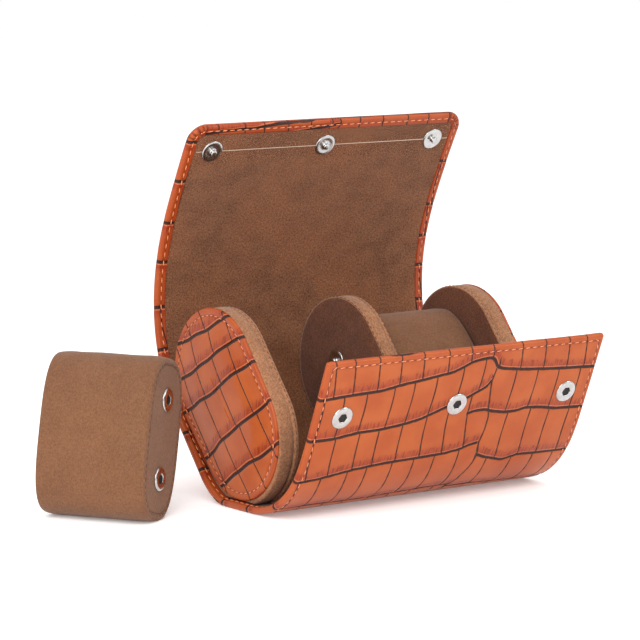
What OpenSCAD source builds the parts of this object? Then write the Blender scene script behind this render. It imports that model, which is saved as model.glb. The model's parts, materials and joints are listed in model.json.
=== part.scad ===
// Two-slot watch travel case: one laminated wrap of embossed leather, stiffener board and suede
// lining folds round two end caps and a divider, and three snaps close it. Millimetres.
// Origin: on the table under the lower centre of the end caps. X runs along the case, Y to its
// back, Z up.

/* [Case] */
// Length of the wrap along X
case_w = 160; // [140:1:200]
// Angle of the end caps' long axis above the table
tilt = 50; // [48:1:52]
// Radius of the round ends of the end caps and the divider
cap_r = 32.5; // [31:0.5:34]
// Straight length of the end caps between their round ends
cap_straight = 32; // [28:1:36]
// How far the bottom of the wrap is pressed flat
bottom_sag = 2; // [1:0.1:2.5]
// Radius that joins the flat bottom to the round back
bottom_bend_r = 12; // [8:1:16]
// Clearance between the caps' rims and the lining
rim_clear = 0.2; // [0.1:0.05:0.4]

/* [Wrap layers] */
// Thickness of the outer leather
leather_t = 1.2; // [1:0.1:1.6]
// Thickness of the stiffener board
board_t = 1.2; // [1:0.1:1.6]
// Thickness of the suede lining and of the leather turned over its edge
lining_t = 0.8; // [0.6:0.1:1.2]
// Width of the leather margin turned to the inside
margin_w = 5; // [4:0.5:8]
// Thickness of the leather over the wrap's cut edge
edge_t = 1; // [0.8:0.1:1.4]
// Gap between one layer and the next
layer_gap = 0.05; // [0.03:0.01:0.1]
// Gap where the wrap folds
fold_gap = 0.3; // [0.2:0.05:0.5]

/* [Lid] */
// Length of the wrap above the caps that stays with the base
lid_lead = 5; // [3:1:8]
// Turn of that length, degrees
lid_lead_turn = 3; // [1:1:5]
// Length of each strip between two folds of the lid
lid_strip = 17; // [16:0.5:18]
// Turn of each strip at rest, degrees
lid_turns = [14, 12, 12, 11, 9, 5]; // [1:1:20]
// Length of the stiff lid panel at the free edge
lid_panel = 41; // [36:1:46]
// Turn of the lid panel, degrees
lid_panel_turn = 3; // [1:1:5]
// Radius of the lid's free corners
lid_corner_r = 9; // [6:0.5:12]

/* [Front flap] */
// Distance of the flap's first fold in front of the origin
flap_start = 11.2; // [11:0.1:13]
// Length of each strip between two folds of the flap
flap_strip = 12; // [11:0.5:14]
// Turn of each strip at rest, degrees
flap_turns = [14, 17, 17, 13, 6]; // [1:1:20]
// Length of the stiff flap panel at the free edge
flap_panel = 44; // [40:1:50]
// Turn of the flap panel, degrees
flap_panel_turn = 1; // [0.5:0.5:3]
// Radius of the flap's free corners
flap_corner_r = 1.6; // [1.4:0.1:3]

/* [End caps and divider] */
// Thickness of each end cap
cap_t = 12; // [10:1:16]
// Distance of the caps' faces inside the wrap's side edges
cap_recess = 3; // [2:0.5:5]
// Thickness of the divider
divider_t = 10; // [8:1:14]
// Thickness of the suede on the caps and the divider
suede_t = 0.8; // [0.6:0.1:1.2]
// Width of the rounded lip round each cap's leather face
cap_lip = 2; // [1:0.5:3]

/* [Snaps] */
// Distance of the lid's studs from its free edge
stud_edge = 14; // [11:0.5:18]
// Distance of the flap's sockets from its free edge
socket_edge = 29; // [26:0.5:32]
// Distance of the outer snaps from the wrap's side edges
snap_side = 15; // [12:1:22]
// Radius of a snap's ring
snap_r = 5.6; // [5:0.1:6.5]
// Height of a socket's ring above the leather
socket_h = 1; // [0.8:0.1:1.2]
// Height of a stud's flange above the lining
flange_h = 0.5; // [0.4:0.1:0.7]
// Height of a stud's post above its flange
post_h = 1.8; // [1.4:0.1:2.2]
// Radius of a stud's post
post_r = 1.6; // [1.4:0.1:1.8]
// Radius of a socket's cavity
cavity_r = 2.6; // [2.4:0.1:2.8]
// Depth of a socket's barrel below the leather
well_h = 1.9; // [1.6:0.1:2]
// Wall of a socket's barrel
barrel_wall = 0.6; // [0.5:0.1:0.8]
// Radius of the rivet shank that passes through the wrap
shank_r = 1.3; // [1.1:0.1:1.5]
// Thickness of the rivet caps on the lid's outside
rivet_cap_t = 0.7; // [0.5:0.1:1]
// Width of the clear film strip that carries the studs
film_w = 16; // [14:0.5:20]
// Distance of the film strip from the leather margin
film_inset = 1; // [0.5:0.1:2]
// Thickness of the film strip
film_t = 0.15; // [0.1:0.05:0.2]

/* [Cushions] */
// Room beside a seated cushion to slide it off its studs
cushion_play = 4.2; // [3.8:0.1:8]
// Height of a cushion
cushion_h = 76; // [70:1:80]
// Depth of a cushion
cushion_d = 39; // [34:1:42]
// Share by which a cushion swells at its middle
cushion_crown = 0.05; // [0.02:0.01:0.08]
// Squareness of a cushion's section: 2 is an ellipse
cushion_square = 3; // [2.4:0.2:4]
// Thickness of a cushion's suede sleeve
sleeve_t = 1; // [0.8:0.1:1.4]
// Gap between a cushion's foam and its sleeve
fill_gap = 0.6; // [0.5:0.1:1]
// Distance between the two snaps on a cushion's end
cushion_snap_pitch = 36; // [30:1:40]
// Gap between a cushion's socket rings and the flanges of the studs
seat_gap = 0.3; // [0.2:0.05:0.5]
// Middle of the loose cushion on the table
loose_at = [-133, 22]; // [-200:1:50]
// Turn of the loose cushion on the table, degrees
loose_turn = -57; // [-80:1:-40]
// Backward lean of the loose cushion, degrees
loose_lean = 15; // [8:1:20]
// How far the loose cushion's bottom is pressed flat
loose_press = 1.2; // [0.6:0.1:2]

/* [Hidden] */
$fn = 96;
cut = 1;                       // how far a cutter runs past a face
arc_step = 3;                  // largest turn between two points of a drawn curve, degrees
side_ease = 0.01;              // how far a cap's straight sides lie inside its round ends
corner_ease = 0.02;            // how far a corner's curve starts outside the straight edges
wrap_t = leather_t + board_t + lining_t;
wrap_r = cap_r + rim_clear;    // inner radius of the wrap round the caps
low = [0, wrap_t + wrap_r - bottom_sag];
high = low + cap_straight * [cos(tilt), sin(tilt)];
middle = (low + high) / 2;
bend_y = sqrt(pow(wrap_r - bottom_bend_r, 2) - pow(wrap_r - bottom_sag - bottom_bend_r, 2));
bend_turn = atan2(bend_y, wrap_r - bottom_sag - bottom_bend_r);
cap_in = case_w / 2 - cap_recess - cap_t;
snap_pitch = case_w / 2 - snap_side;   // from the middle snap to an outer one
cushion_x = divider_t / 2 + cushion_play;   // left end of the right cushion
cushion_l = cap_in - flange_h - seat_gap - socket_h - cushion_x;
sleeve_sides = 40;
sleeve_rings = 8;
end_plate_t = 1.2;
barrel_l = 3;                  // socket barrel behind a cushion's end plate
barrel_r = cavity_r + barrel_wall;
shank_in = 2.4;                // how far a stud's shank reaches into the cap's core

// A stretch of the wrap is [start point, direction, turn, length] on its inner surface, seen from
// the left end: the path turns to its left, and the leather is on its right.
function reach(s) = s[3] / s[2] * 180 / PI;
function centre(s) = s[0] + reach(s) * [-sin(s[1]), cos(s[1])];
function along(s, d) = let(a = s[1] + s[2] * d / s[3])
    s[2] == 0 ? s[0] + d * [cos(s[1]), sin(s[1])] : centre(s) + reach(s) * [sin(a), -cos(a)];
function heading(s, d) = s[1] + s[2] * d / s[3];
function off_wrap(s, d, t) = let(a = heading(s, d)) along(s, d) + t * [sin(a), -cos(a)];
function next(s, turn, len) = [along(s, s[3]), s[1] + s[2], turn, len];
function stretches(s, turns, len, i = 0) =
    i == len(turns) ? [] : let(n = next(s, turns[i], len)) concat([n], stretches(n, turns, len, i + 1));

base_flat = [[-flap_start, wrap_t], 0, 0, flap_start + bend_y];
base_bend = next(base_flat, bend_turn, bottom_bend_r * bend_turn * PI / 180);
base_round = next(base_bend, tilt - bend_turn, wrap_r * (tilt - bend_turn) * PI / 180);
base_back = next(base_round, 0, cap_straight);
base_lead = next(base_back, lid_lead_turn, lid_lead);
base_path = [base_flat, base_bend, base_round, base_back, base_lead];
lid_path = stretches(base_lead, lid_turns, lid_strip);
lid_end = next(lid_path[len(lid_path) - 1], lid_panel_turn, lid_panel);
// The flap is laid out to the back and mirrored to the front.
flap_root = [[flap_start - cut, wrap_t], 0, 0, cut];
flap_path = stretches(flap_root, flap_turns, flap_strip);
flap_end = next(flap_path[len(flap_path) - 1], flap_panel_turn, flap_panel);

tan_leather = [0.80, 0.41, 0.24];
brown_suede = [0.50, 0.35, 0.24];
pale_suede = [0.65, 0.45, 0.31];
grey_board = [0.45, 0.43, 0.40];
white_foam = [0.88, 0.87, 0.82];
nickel = [0.78, 0.77, 0.76];
clear_film = [0.80, 0.78, 0.74];

// ---- drawing in the plane of the end caps ----

// Draws in the Y-Z plane and extrudes along X.
module side_on() rotate([90, 0, 90]) children();

// A piece of the wrap between two depths, counted outwards from the inner surface.
module sheet(s, w, t0, t1, from = 0, to = 0) {
    if (s[2] == 0)
        translate(s[0]) rotate(s[1]) mirror([0, 1, 0]) rotate([90, 0, 90])
            translate([0, 0, from]) linear_extrude(s[3] - from - to) translate([t0, -w / 2])
                square([t1 - t0, w]);
    else
        translate(centre(s))
            rotate_extrude(angle = s[2] * (s[3] - from - to) / s[3],
                           start = s[1] - 90 + s[2] * from / s[3])
                translate([reach(s) + t0, -w / 2]) square([t1 - t0, w]);
}

// Places things on the wrap: x runs on along the wrap, y along the case and z out of it.
module on_wrap(s, d) translate(along(s, d)) rotate(heading(s, d)) rotate([90, 0, 0]) children();

// A sheet whose two free corners are rounded.
module free_sheet(s, w, t0, t1, corner, from = 0, to = 0) {
    difference() {
        sheet(s, w, t0, t1, from, to);
        on_wrap(s, s[3] - to) for (m = [0, 1]) mirror([0, m, 0])
            translate([-corner, w / 2 - corner, -cut]) difference() {
                cube([corner + cut, corner + cut, wrap_t + 2 * cut]);
                translate([0, 0, -cut]) cylinder(r = corner + corner_ease, h = wrap_t + 4 * cut);
            }
    }
}

module wrap_leather(s, from = 0, to = 0) {
    difference() {
        sheet(s, case_w, 0, wrap_t, from, to);
        sheet(s, case_w - 2 * edge_t, lining_t, wrap_t - leather_t, from - cut, to - cut);
        sheet(s, case_w - 2 * margin_w, -cut, lining_t + layer_gap, from - cut, to - cut);
    }
}

// Lining with its soft backing, in the stretches that fold.
module folding_lining(s) {
    sheet(s, case_w - 2 * margin_w - 2 * layer_gap, 0, lining_t + 2 * layer_gap, fold_gap / 2, fold_gap / 2);
    sheet(s, case_w - 2 * edge_t - 2 * layer_gap, lining_t + layer_gap,
          wrap_t - leather_t - layer_gap, fold_gap / 2, fold_gap / 2);
}

module panel_leather(s, corner) {
    difference() {
        free_sheet(s, case_w, 0, wrap_t, corner, fold_gap / 2);
        free_sheet(s, case_w - 2 * edge_t, lining_t, wrap_t - leather_t, corner - edge_t, -cut, edge_t);
        sheet(s, case_w - 2 * margin_w, -cut, lining_t + layer_gap, -cut, margin_w);
    }
}

module panel_board(s, corner)
    free_sheet(s, case_w - 2 * edge_t - 2 * layer_gap, lining_t + layer_gap,
               wrap_t - leather_t - layer_gap, corner - edge_t, fold_gap / 2, edge_t + layer_gap);

// The socket caps lie in the board, under the lining.
socket_cap_z = lining_t + 2 * layer_gap;
socket_cap_t = wrap_t - well_h - layer_gap - socket_cap_z;

module panel_lining(s)
    sheet(s, case_w - 2 * margin_w - 2 * layer_gap, 0, lining_t, fold_gap / 2, margin_w + layer_gap);

// ---- snaps: three in a row on the wrap ----

module snap_row(s, edge) on_wrap(s, s[3] - edge)
    for (y = [-snap_pitch, 0, snap_pitch]) translate([0, y, 0]) children();

module snap_holes(s, edge) snap_row(s, edge)
    translate([0, 0, -cut]) cylinder(r = shank_r + layer_gap, h = wrap_t + 2 * cut);
module well_holes(s, edge) snap_row(s, edge)
    translate([0, 0, wrap_t - well_h - layer_gap]) cylinder(r = barrel_r + layer_gap, h = well_h + cut);

// A stud points down from its flange's seat at z = 0 and has its shank above.
module stud(shank) {
    rotate_extrude() polygon([
        [0, shank], [shank_r, shank], [shank_r, 0], [snap_r, 0],
        [snap_r, -flange_h * 0.5], [snap_r - flange_h, -flange_h],
        [post_r * 0.8, -flange_h], [post_r * 0.8, -flange_h - post_h * 0.4],
        [post_r, -flange_h - post_h * 0.6], [post_r, -flange_h - post_h * 0.8],
        [post_r * 0.7, -flange_h - post_h], [0, -flange_h - post_h]
    ]);
}

// A socket's ring stands on z = 0 with its mouth up and its barrel below.
module socket(barrel) {
    difference() {
        union() {
            rotate_extrude() polygon([
                [0, 0], [snap_r, 0], [snap_r, socket_h * 0.4], [snap_r - socket_h * 0.6, socket_h],
                [0, socket_h]
            ]);
            translate([0, 0, -barrel]) cylinder(r = barrel_r, h = barrel + socket_h / 4);
        }
        translate([0, 0, barrel_wall - barrel]) cylinder(r = cavity_r, h = barrel + socket_h);
    }
}

module rivet_cap() rotate_extrude() polygon([
    [0, 0], [snap_r, 0], [snap_r, rivet_cap_t * 0.4], [snap_r * 0.7, rivet_cap_t * 0.9], [0, rivet_cap_t]
]);

// ---- base of the wrap ----

// The base's stretches as one line at a depth t, with its two ends moved out along the wrap.
function base_line(t, out) = let(path = base_path, last = path[len(path) - 1]) concat(
    [off_wrap(path[0], -out, t)],
    [for (s = path) let(n = max(1, ceil(s[2] / arc_step))) for (i = [1:n])
        if (s != last || i < n) off_wrap(s, s[3] * i / n, t)],
    [off_wrap(last, last[3] + out, t)]
);
function turned_round(line) = [for (i = [len(line) - 1:-1:0]) line[i]];
module base_sheet(w, t0, t1, out = -fold_gap / 2) side_on() translate([0, 0, -w / 2]) linear_extrude(w)
    polygon(concat(base_line(t0, out), turned_round(base_line(t1, out))));

module base_leather() color(tan_leather) difference() {
    base_sheet(case_w, 0, wrap_t);
    base_sheet(case_w - 2 * edge_t, lining_t, wrap_t - leather_t, cut);
    base_sheet(case_w - 2 * margin_w, -cut, lining_t + layer_gap, cut);
}

module base_board() color(grey_board)
    base_sheet(case_w - 2 * edge_t - 2 * layer_gap, lining_t + layer_gap, wrap_t - leather_t - layer_gap);

module base_lining() color(brown_suede) base_sheet(case_w - 2 * margin_w - 2 * layer_gap, 0, lining_t);

// ---- lid ----

module lid_leather(i) color(tan_leather) side_on() wrap_leather(lid_path[i], fold_gap / 2, fold_gap / 2);
module lid_lining(i) color(brown_suede) side_on() folding_lining(lid_path[i]);

module lid_panel_leather() color(tan_leather) side_on() difference() {
    panel_leather(lid_end, lid_corner_r);
    snap_holes(lid_end, stud_edge);
}
module lid_panel_board() color(grey_board) side_on() difference() {
    panel_board(lid_end, lid_corner_r);
    snap_holes(lid_end, stud_edge);
}
module lid_panel_lining() color(brown_suede) side_on() difference() {
    panel_lining(lid_end);
    snap_holes(lid_end, stud_edge);
}
// A clear strip glued to the lining between the studs and the free edge.
module lid_film_strip() color(clear_film) side_on() difference() {
    sheet(lid_end, case_w - 2 * (margin_w + film_inset), -film_t - layer_gap, -layer_gap,
          lid_panel - margin_w - film_w, margin_w + film_inset);
    snap_row(lid_end, stud_edge) translate([0, 0, -cut]) cylinder(r = snap_r + layer_gap, h = 2 * cut);
}
module lid_studs() color(nickel) side_on()
    snap_row(lid_end, stud_edge) translate([0, 0, -layer_gap]) stud(wrap_t + layer_gap);
module lid_snap_caps() color(nickel) side_on()
    snap_row(lid_end, stud_edge) translate([0, 0, wrap_t + layer_gap]) rivet_cap();

// ---- front flap, mirrored to the front ----

module to_front() mirror([0, 1, 0]) side_on() children();

module flap_leather(i) color(tan_leather) to_front() wrap_leather(flap_path[i], fold_gap / 2, fold_gap / 2);
module flap_lining(i) color(brown_suede) to_front() folding_lining(flap_path[i]);

module flap_panel_leather() color(tan_leather) to_front() difference() {
    panel_leather(flap_end, flap_corner_r);
    well_holes(flap_end, socket_edge);
}
module flap_panel_board() color(grey_board) to_front() difference() {
    panel_board(flap_end, flap_corner_r);
    well_holes(flap_end, socket_edge);
    snap_row(flap_end, socket_edge) cylinder(r = snap_r + layer_gap, h = wrap_t - well_h);
}
module flap_panel_lining() color(brown_suede) to_front() panel_lining(flap_end);
module flap_sockets() color(nickel) to_front()
    snap_row(flap_end, socket_edge) translate([0, 0, wrap_t]) socket(well_h);
module flap_socket_caps() color(nickel) to_front()
    snap_row(flap_end, socket_edge) translate([0, 0, socket_cap_z]) cylinder(r = snap_r, h = socket_cap_t);

// ---- end caps and divider ----

// The caps' outline: two round ends, straight sides and a flat where the wrap is pressed flat.
module cap_outline(inset = 0) difference() {
    union() {
        translate(low) circle(cap_r - inset);
        translate(high) circle(cap_r - inset);
        translate(middle) rotate(tilt)
            square([cap_straight, 2 * (cap_r - inset - side_ease)], center = true);
    }
    translate([-2 * cap_r, wrap_t + rim_clear + inset - 2 * cap_r]) square([4 * cap_r, 2 * cap_r]);
}

module cap_slab(x0, x1, inset = 0) side_on() translate([0, 0, x0]) linear_extrude(x1 - x0) cap_outline(inset);

// Places things on the caps' long axis at a distance from its middle, facing along X.
module on_cap(x, u) side_on() translate(middle + u * [cos(tilt), sin(tilt)]) translate([0, 0, x]) children();

// Studs on a suede face: the flange sits on the face and the shank goes through it into the core.
module face_studs(x, facing) for (u = [-1, 1] * cushion_snap_pitch / 2)
    on_cap(x + facing * layer_gap, u) mirror([0, 0, facing > 0 ? 1 : 0])
        stud(suede_t + shank_in);
module stud_holes(x, depth) for (u = [-1, 1] * cushion_snap_pitch / 2)
    on_cap(x - depth, u) cylinder(r = shank_r + layer_gap, h = 2 * depth);

// An end cap from its outer face inwards, on the right; the left one is its mirror image.
cap_out = cap_in + cap_t;
module cap_leather() color(tan_leather) {
    cap_slab(cap_out - leather_t, cap_out - leather_t / 2);
    cap_slab(cap_out - leather_t / 2, cap_out, leather_t / 4);
    difference() {
        cap_slab(cap_out - leather_t - cap_lip, cap_out - leather_t + layer_gap / 2);
        cap_slab(cap_out - leather_t - cap_lip - cut, cap_out, suede_t);
    }
}
module cap_core() color(white_foam)
    cap_slab(cap_in + suede_t + layer_gap, cap_out - leather_t - layer_gap, suede_t + layer_gap);
module cap_gusset() color(pale_suede) difference() {
    cap_slab(cap_in, cap_out - leather_t - cap_lip - layer_gap);
    cap_slab(cap_in - cut, cap_out, suede_t);
}
module cap_lining() color(brown_suede) cap_slab(cap_in, cap_in + suede_t, suede_t + layer_gap);

module left_cap_leather() mirror([1, 0, 0]) cap_leather();
module left_cap_core() mirror([1, 0, 0]) cap_core();
module left_cap_gusset() mirror([1, 0, 0]) cap_gusset();
module left_cap_lining() mirror([1, 0, 0]) cap_lining();
module right_cap_leather() cap_leather();
module right_cap_core() difference() {
    cap_core();
    stud_holes(cap_in, suede_t + shank_in + layer_gap);
}
module right_cap_gusset() cap_gusset();
module right_cap_lining() difference() {
    cap_lining();
    stud_holes(cap_in, 2 * suede_t);
}
module right_cap_studs() color(nickel) face_studs(cap_in, -1);

module divider_core() color(white_foam) difference() {
    cap_slab(-divider_t / 2 + suede_t + layer_gap, divider_t / 2 - suede_t - layer_gap, suede_t + layer_gap);
    stud_holes(-divider_t / 2, suede_t + shank_in + layer_gap);
}
module divider_gusset() color(pale_suede) difference() {
    cap_slab(-divider_t / 2, divider_t / 2);
    cap_slab(-divider_t / 2 - cut, divider_t / 2 + cut, suede_t);
}
module divider_left_face() color(brown_suede) difference() {
    cap_slab(-divider_t / 2, -divider_t / 2 + suede_t, suede_t + layer_gap);
    stud_holes(-divider_t / 2, 2 * suede_t);
}
module divider_right_face() color(brown_suede)
    cap_slab(divider_t / 2 - suede_t, divider_t / 2, suede_t + layer_gap);
module divider_studs() color(nickel) face_studs(-divider_t / 2, -1);

// ---- cushions: a suede sleeve round a foam core, closed by two sewn end pieces ----

// A point of the cushion's skin at a share of its length and an angle, set in by a thickness.
function swell(f) = 1 - cushion_crown * pow(2 * f - 1, 2) - cushion_crown * pow(2 * f - 1, 8);
function round_off(c, k) = sign(c) * pow(abs(c), 2 / k);
function skin(f, a, inset) = [
    f * cushion_l,
    (cushion_d / 2 * swell(f) - inset) * round_off(sin(a), cushion_square),
    (cushion_h / 2 * swell(f) - inset) * round_off(cos(a), cushion_square)
];
function ring(f, inset) = [for (i = [0:sleeve_sides - 1]) skin(f, i * 360 / sleeve_sides, inset)];
function loft_faces(rings, n) = concat(
    [for (r = [0:rings - 2]) for (i = [0:n - 1]) let(j = (i + 1) % n)
        each [[r * n + i, r * n + j, (r + 1) * n + i], [r * n + j, (r + 1) * n + j, (r + 1) * n + i]]]
);
function tube_faces(rings, n) = concat(
    loft_faces(2 * rings, n),
    [for (i = [0:n - 1]) let(j = (i + 1) % n, last = (2 * rings - 1) * n)
        each [[last + i, last + j, i], [last + j, j, i]]]
);
function plug_faces(rings, n) = concat(
    loft_faces(rings, n),
    [[for (i = [n - 1:-1:0]) i], [for (i = [0:n - 1]) (rings - 1) * n + i]]
);

// Stands the loose cushion on the table, pressed flat where it would reach below it.
function lean(p) = [p[0], p[1] * cos(loose_lean) + p[2] * sin(loose_lean),
                    p[2] * cos(loose_lean) - p[1] * sin(loose_lean)];
loose_low = min([for (f = [0:0.125:1]) for (p = ring(f, 0)) lean(p)[2]]);
loose_drop = -loose_low - loose_press;
function stand(p, floor_z) = let(q = lean([p[0] - cushion_l / 2, p[1], p[2]]))
    [loose_at[0] + q[0] * cos(loose_turn) - q[1] * sin(loose_turn),
     loose_at[1] + q[0] * sin(loose_turn) + q[1] * cos(loose_turn),
     max(floor_z, q[2] + loose_drop)];
module loose_place() translate([loose_at[0], loose_at[1], loose_drop]) rotate([0, 0, loose_turn])
    rotate([-loose_lean, 0, 0]) translate([-cushion_l / 2, 0, 0]) children();
// In the case a cushion stands along the caps' long axis with its front to the flap.
function seat(p) = let(c = cos(90 - tilt), s = sin(90 - tilt))
    [cushion_x + p[0], middle[0] + p[1] * c + p[2] * s, middle[1] + p[2] * c - p[1] * s];
module seat_place() translate([cushion_x, middle[0], middle[1]]) rotate([-(90 - tilt), 0, 0]) children();

sleeve_fs = [for (r = [0:sleeve_rings]) r / sleeve_rings];
core_from = (end_plate_t + fill_gap) / cushion_l;
core_to = 1 - (barrel_l + fill_gap) / cushion_l;
core_fs = [for (r = [0:sleeve_rings]) core_from + (core_to - core_from) * r / sleeve_rings];

function sleeve_points() = [
    for (r = [0:sleeve_rings]) ring(sleeve_fs[r], 0),
    for (r = [sleeve_rings:-1:0]) ring(sleeve_fs[r], sleeve_t)
];
module sleeve(rings) color(pale_suede)
    polyhedron([for (r = rings) each r], tube_faces(len(rings) / 2, sleeve_sides));
module core(rings) color(white_foam)
    polyhedron([for (r = rings) each r], plug_faces(len(rings), sleeve_sides));

// The end pieces, with the snap sockets in the right one.
module end_outline(inset) polygon([for (p = ring(0, inset)) [p[1], p[2]]]);
module cushion_snap_row(x) for (z = [-1, 1] * cushion_snap_pitch / 2)
    translate([x, 0, z]) rotate([0, 90, 0]) children();
module cushion_ends() color(pale_suede) difference() {
    for (x = [0, cushion_l - end_plate_t]) translate([x, 0, 0])
        rotate([90, 0, 90]) linear_extrude(end_plate_t) end_outline(sleeve_t + layer_gap);
    cushion_snap_row(cushion_l - end_plate_t - cut)
        cylinder(r = barrel_r + layer_gap, h = end_plate_t + 2 * cut);
}
module cushion_sockets() color(nickel) cushion_snap_row(cushion_l) socket(barrel_l);

module right_cushion_sleeve() sleeve([for (r = sleeve_points()) [for (p = r) seat(p)]]);
module right_cushion_core() core([for (f = core_fs) [for (p = ring(f, sleeve_t + fill_gap)) seat(p)]]);
module right_cushion_ends() seat_place() cushion_ends();
module right_cushion_sockets() seat_place() cushion_sockets();

module loose_cushion_sleeve() sleeve([for (i = [0:2 * sleeve_rings + 1])
    [for (p = sleeve_points()[i]) stand(p, i > sleeve_rings ? sleeve_t : 0)]]);
module loose_cushion_core() core([for (f = core_fs)
    [for (p = ring(f, sleeve_t + fill_gap)) stand(p, sleeve_t + fill_gap)]]);
module loose_cushion_ends() difference() {
    loose_place() cushion_ends();
    translate([loose_at[0] - cushion_h, loose_at[1] - cushion_h, sleeve_t + layer_gap - cushion_h])
        cube([2 * cushion_h, 2 * cushion_h, cushion_h]);
}
module loose_cushion_sockets() loose_place() cushion_sockets();

for (i = [0:5]) lid_leather(i);
for (i = [0:5]) lid_lining(i);
for (i = [0:4]) flap_leather(i);
for (i = [0:4]) flap_lining(i);
base_leather();
base_board();
base_lining();
lid_panel_leather();
lid_panel_board();
lid_panel_lining();
lid_film_strip();
lid_studs();
lid_snap_caps();
flap_panel_leather();
flap_panel_board();
flap_panel_lining();
flap_sockets();
flap_socket_caps();
left_cap_leather();
left_cap_core();
left_cap_gusset();
left_cap_lining();
right_cap_leather();
right_cap_core();
right_cap_gusset();
right_cap_lining();
right_cap_studs();
divider_core();
divider_gusset();
divider_left_face();
divider_right_face();
divider_studs();
right_cushion_sleeve();
right_cushion_core();
right_cushion_ends();
right_cushion_sockets();
loose_cushion_sleeve();
loose_cushion_core();
loose_cushion_ends();
loose_cushion_sockets();
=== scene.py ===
"""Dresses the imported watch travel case: embossed leather, suede, stitching, snaps and cushions."""

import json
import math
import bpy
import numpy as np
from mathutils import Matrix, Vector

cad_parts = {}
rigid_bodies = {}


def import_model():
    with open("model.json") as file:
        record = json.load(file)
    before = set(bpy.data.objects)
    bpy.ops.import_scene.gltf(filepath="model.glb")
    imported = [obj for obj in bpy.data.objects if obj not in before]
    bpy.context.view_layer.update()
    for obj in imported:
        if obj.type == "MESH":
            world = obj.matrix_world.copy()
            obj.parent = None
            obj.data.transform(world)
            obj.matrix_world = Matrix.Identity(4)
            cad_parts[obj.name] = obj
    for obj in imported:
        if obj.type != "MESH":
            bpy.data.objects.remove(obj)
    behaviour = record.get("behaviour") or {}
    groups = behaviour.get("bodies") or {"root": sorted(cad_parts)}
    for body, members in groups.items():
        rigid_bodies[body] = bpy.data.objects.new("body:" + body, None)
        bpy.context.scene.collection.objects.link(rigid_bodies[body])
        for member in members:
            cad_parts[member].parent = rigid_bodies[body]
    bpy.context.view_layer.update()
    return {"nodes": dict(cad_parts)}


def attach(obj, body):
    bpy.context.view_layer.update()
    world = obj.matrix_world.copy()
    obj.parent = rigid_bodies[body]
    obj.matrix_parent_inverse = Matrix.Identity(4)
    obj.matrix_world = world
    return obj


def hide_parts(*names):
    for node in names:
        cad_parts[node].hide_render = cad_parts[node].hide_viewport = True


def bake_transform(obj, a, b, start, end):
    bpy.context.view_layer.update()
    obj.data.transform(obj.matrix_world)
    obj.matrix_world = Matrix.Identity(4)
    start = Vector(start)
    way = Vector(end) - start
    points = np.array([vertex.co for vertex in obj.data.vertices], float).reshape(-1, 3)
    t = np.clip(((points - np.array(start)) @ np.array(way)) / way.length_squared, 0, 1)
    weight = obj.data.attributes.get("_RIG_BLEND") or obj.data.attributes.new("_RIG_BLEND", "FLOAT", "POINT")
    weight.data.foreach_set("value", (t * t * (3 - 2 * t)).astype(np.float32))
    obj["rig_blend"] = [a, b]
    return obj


bl_info = {
    "name": "Watch Travel Case",
    "version": (1, 0, 0),
    "blender": (4, 5, 0),
    "location": "3D View > Sidebar > Watch Case",
    "description": "Builds the leather, suede, stitching, snaps and cushions of a two-slot watch case",
    "category": "Add Mesh",
}

from collections import namedtuple

import bmesh
import bpy
import numpy as np
from bpy.props import FloatProperty, FloatVectorProperty, PointerProperty
from mathutils import Matrix, Vector

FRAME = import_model()
MM = 0.001

# ---- the case's sizes, in millimetres and degrees, as in its source ----

CASE_W, TILT, CAP_R, CAP_STRAIGHT, RIM_CLEAR = 160.0, 50.0, 32.5, 32.0, 0.2
BOTTOM_SAG, BOTTOM_BEND_R = 2.0, 12.0
WRAP_T, LEATHER_T, LINING_T, MARGIN_W = 3.2, 1.2, 0.8, 5.0
FLAP_START, FLAP_STRIP, FLAP_TURNS = 11.2, 12.0, (14, 17, 17, 13, 6)
FLAP_PANEL, FLAP_PANEL_TURN, FLAP_CORNER_R = 44.0, 1.0, 1.6
LID_LEAD, LID_LEAD_TURN, LID_STRIP, LID_TURNS = 5.0, 3.0, 17.0, (14, 12, 12, 11, 9, 5)
LID_PANEL, LID_PANEL_TURN, LID_CORNER_R = 41.0, 3.0, 9.0
CAP_T, CAP_RECESS, DIVIDER_T, SUEDE_T = 12.0, 3.0, 10.0, 0.8
STUD_EDGE, SOCKET_EDGE, SNAP_SIDE, SNAP_R, SOCKET_H, FLANGE_H = 14.0, 29.0, 15.0, 5.6, 1.0, 0.5
CUSHION_PLAY, CUSHION_H, CUSHION_D, CUSHION_SNAP_PITCH, SEAT_GAP = 4.2, 76.0, 39.0, 36.0, 0.3
CUSHION_CROWN, CUSHION_SQUARE = 0.05, 3.0
LOOSE_AT, LOOSE_TURN, LOOSE_LEAN, LOOSE_PRESS = (-133.0, 22.0), -57.0, 15.0, 1.2
FILM_W, FILM_INSET = 16.0, 1.0

HALF_W = CASE_W / 2
WRAP_R = CAP_R + RIM_CLEAR
AXIS = np.array([math.cos(math.radians(TILT)), math.sin(math.radians(TILT))])
LOW = np.array([0.0, WRAP_T + WRAP_R - BOTTOM_SAG])
HIGH = LOW + CAP_STRAIGHT * AXIS
MIDDLE = (LOW + HIGH) / 2
FLOOR_Z = WRAP_T + RIM_CLEAR       # the caps' rims are pressed flat here
CAP_OUT = HALF_W - CAP_RECESS
CAP_IN = CAP_OUT - CAP_T
CUSHION_X = DIVIDER_T / 2 + CUSHION_PLAY
CUSHION_L = CAP_IN - FLANGE_H - SEAT_GAP - SOCKET_H - CUSHION_X

# ---- details, in millimetres ----

SEAM_INSET = 2.9                   # the sunken line under the wrap's seam, in from its edge
CAP_SEAM = 3.5                     # the seam on a cap's face, in from the outline
RIM_SEAM = 1.9                     # the seam on a cap's rim, out from its inner face
DIVIDER_SEAMS = (-4.2, 4.0)
CUSHION_SEAM = 2.3                 # the seam on a cushion's end, in from its outline
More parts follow.
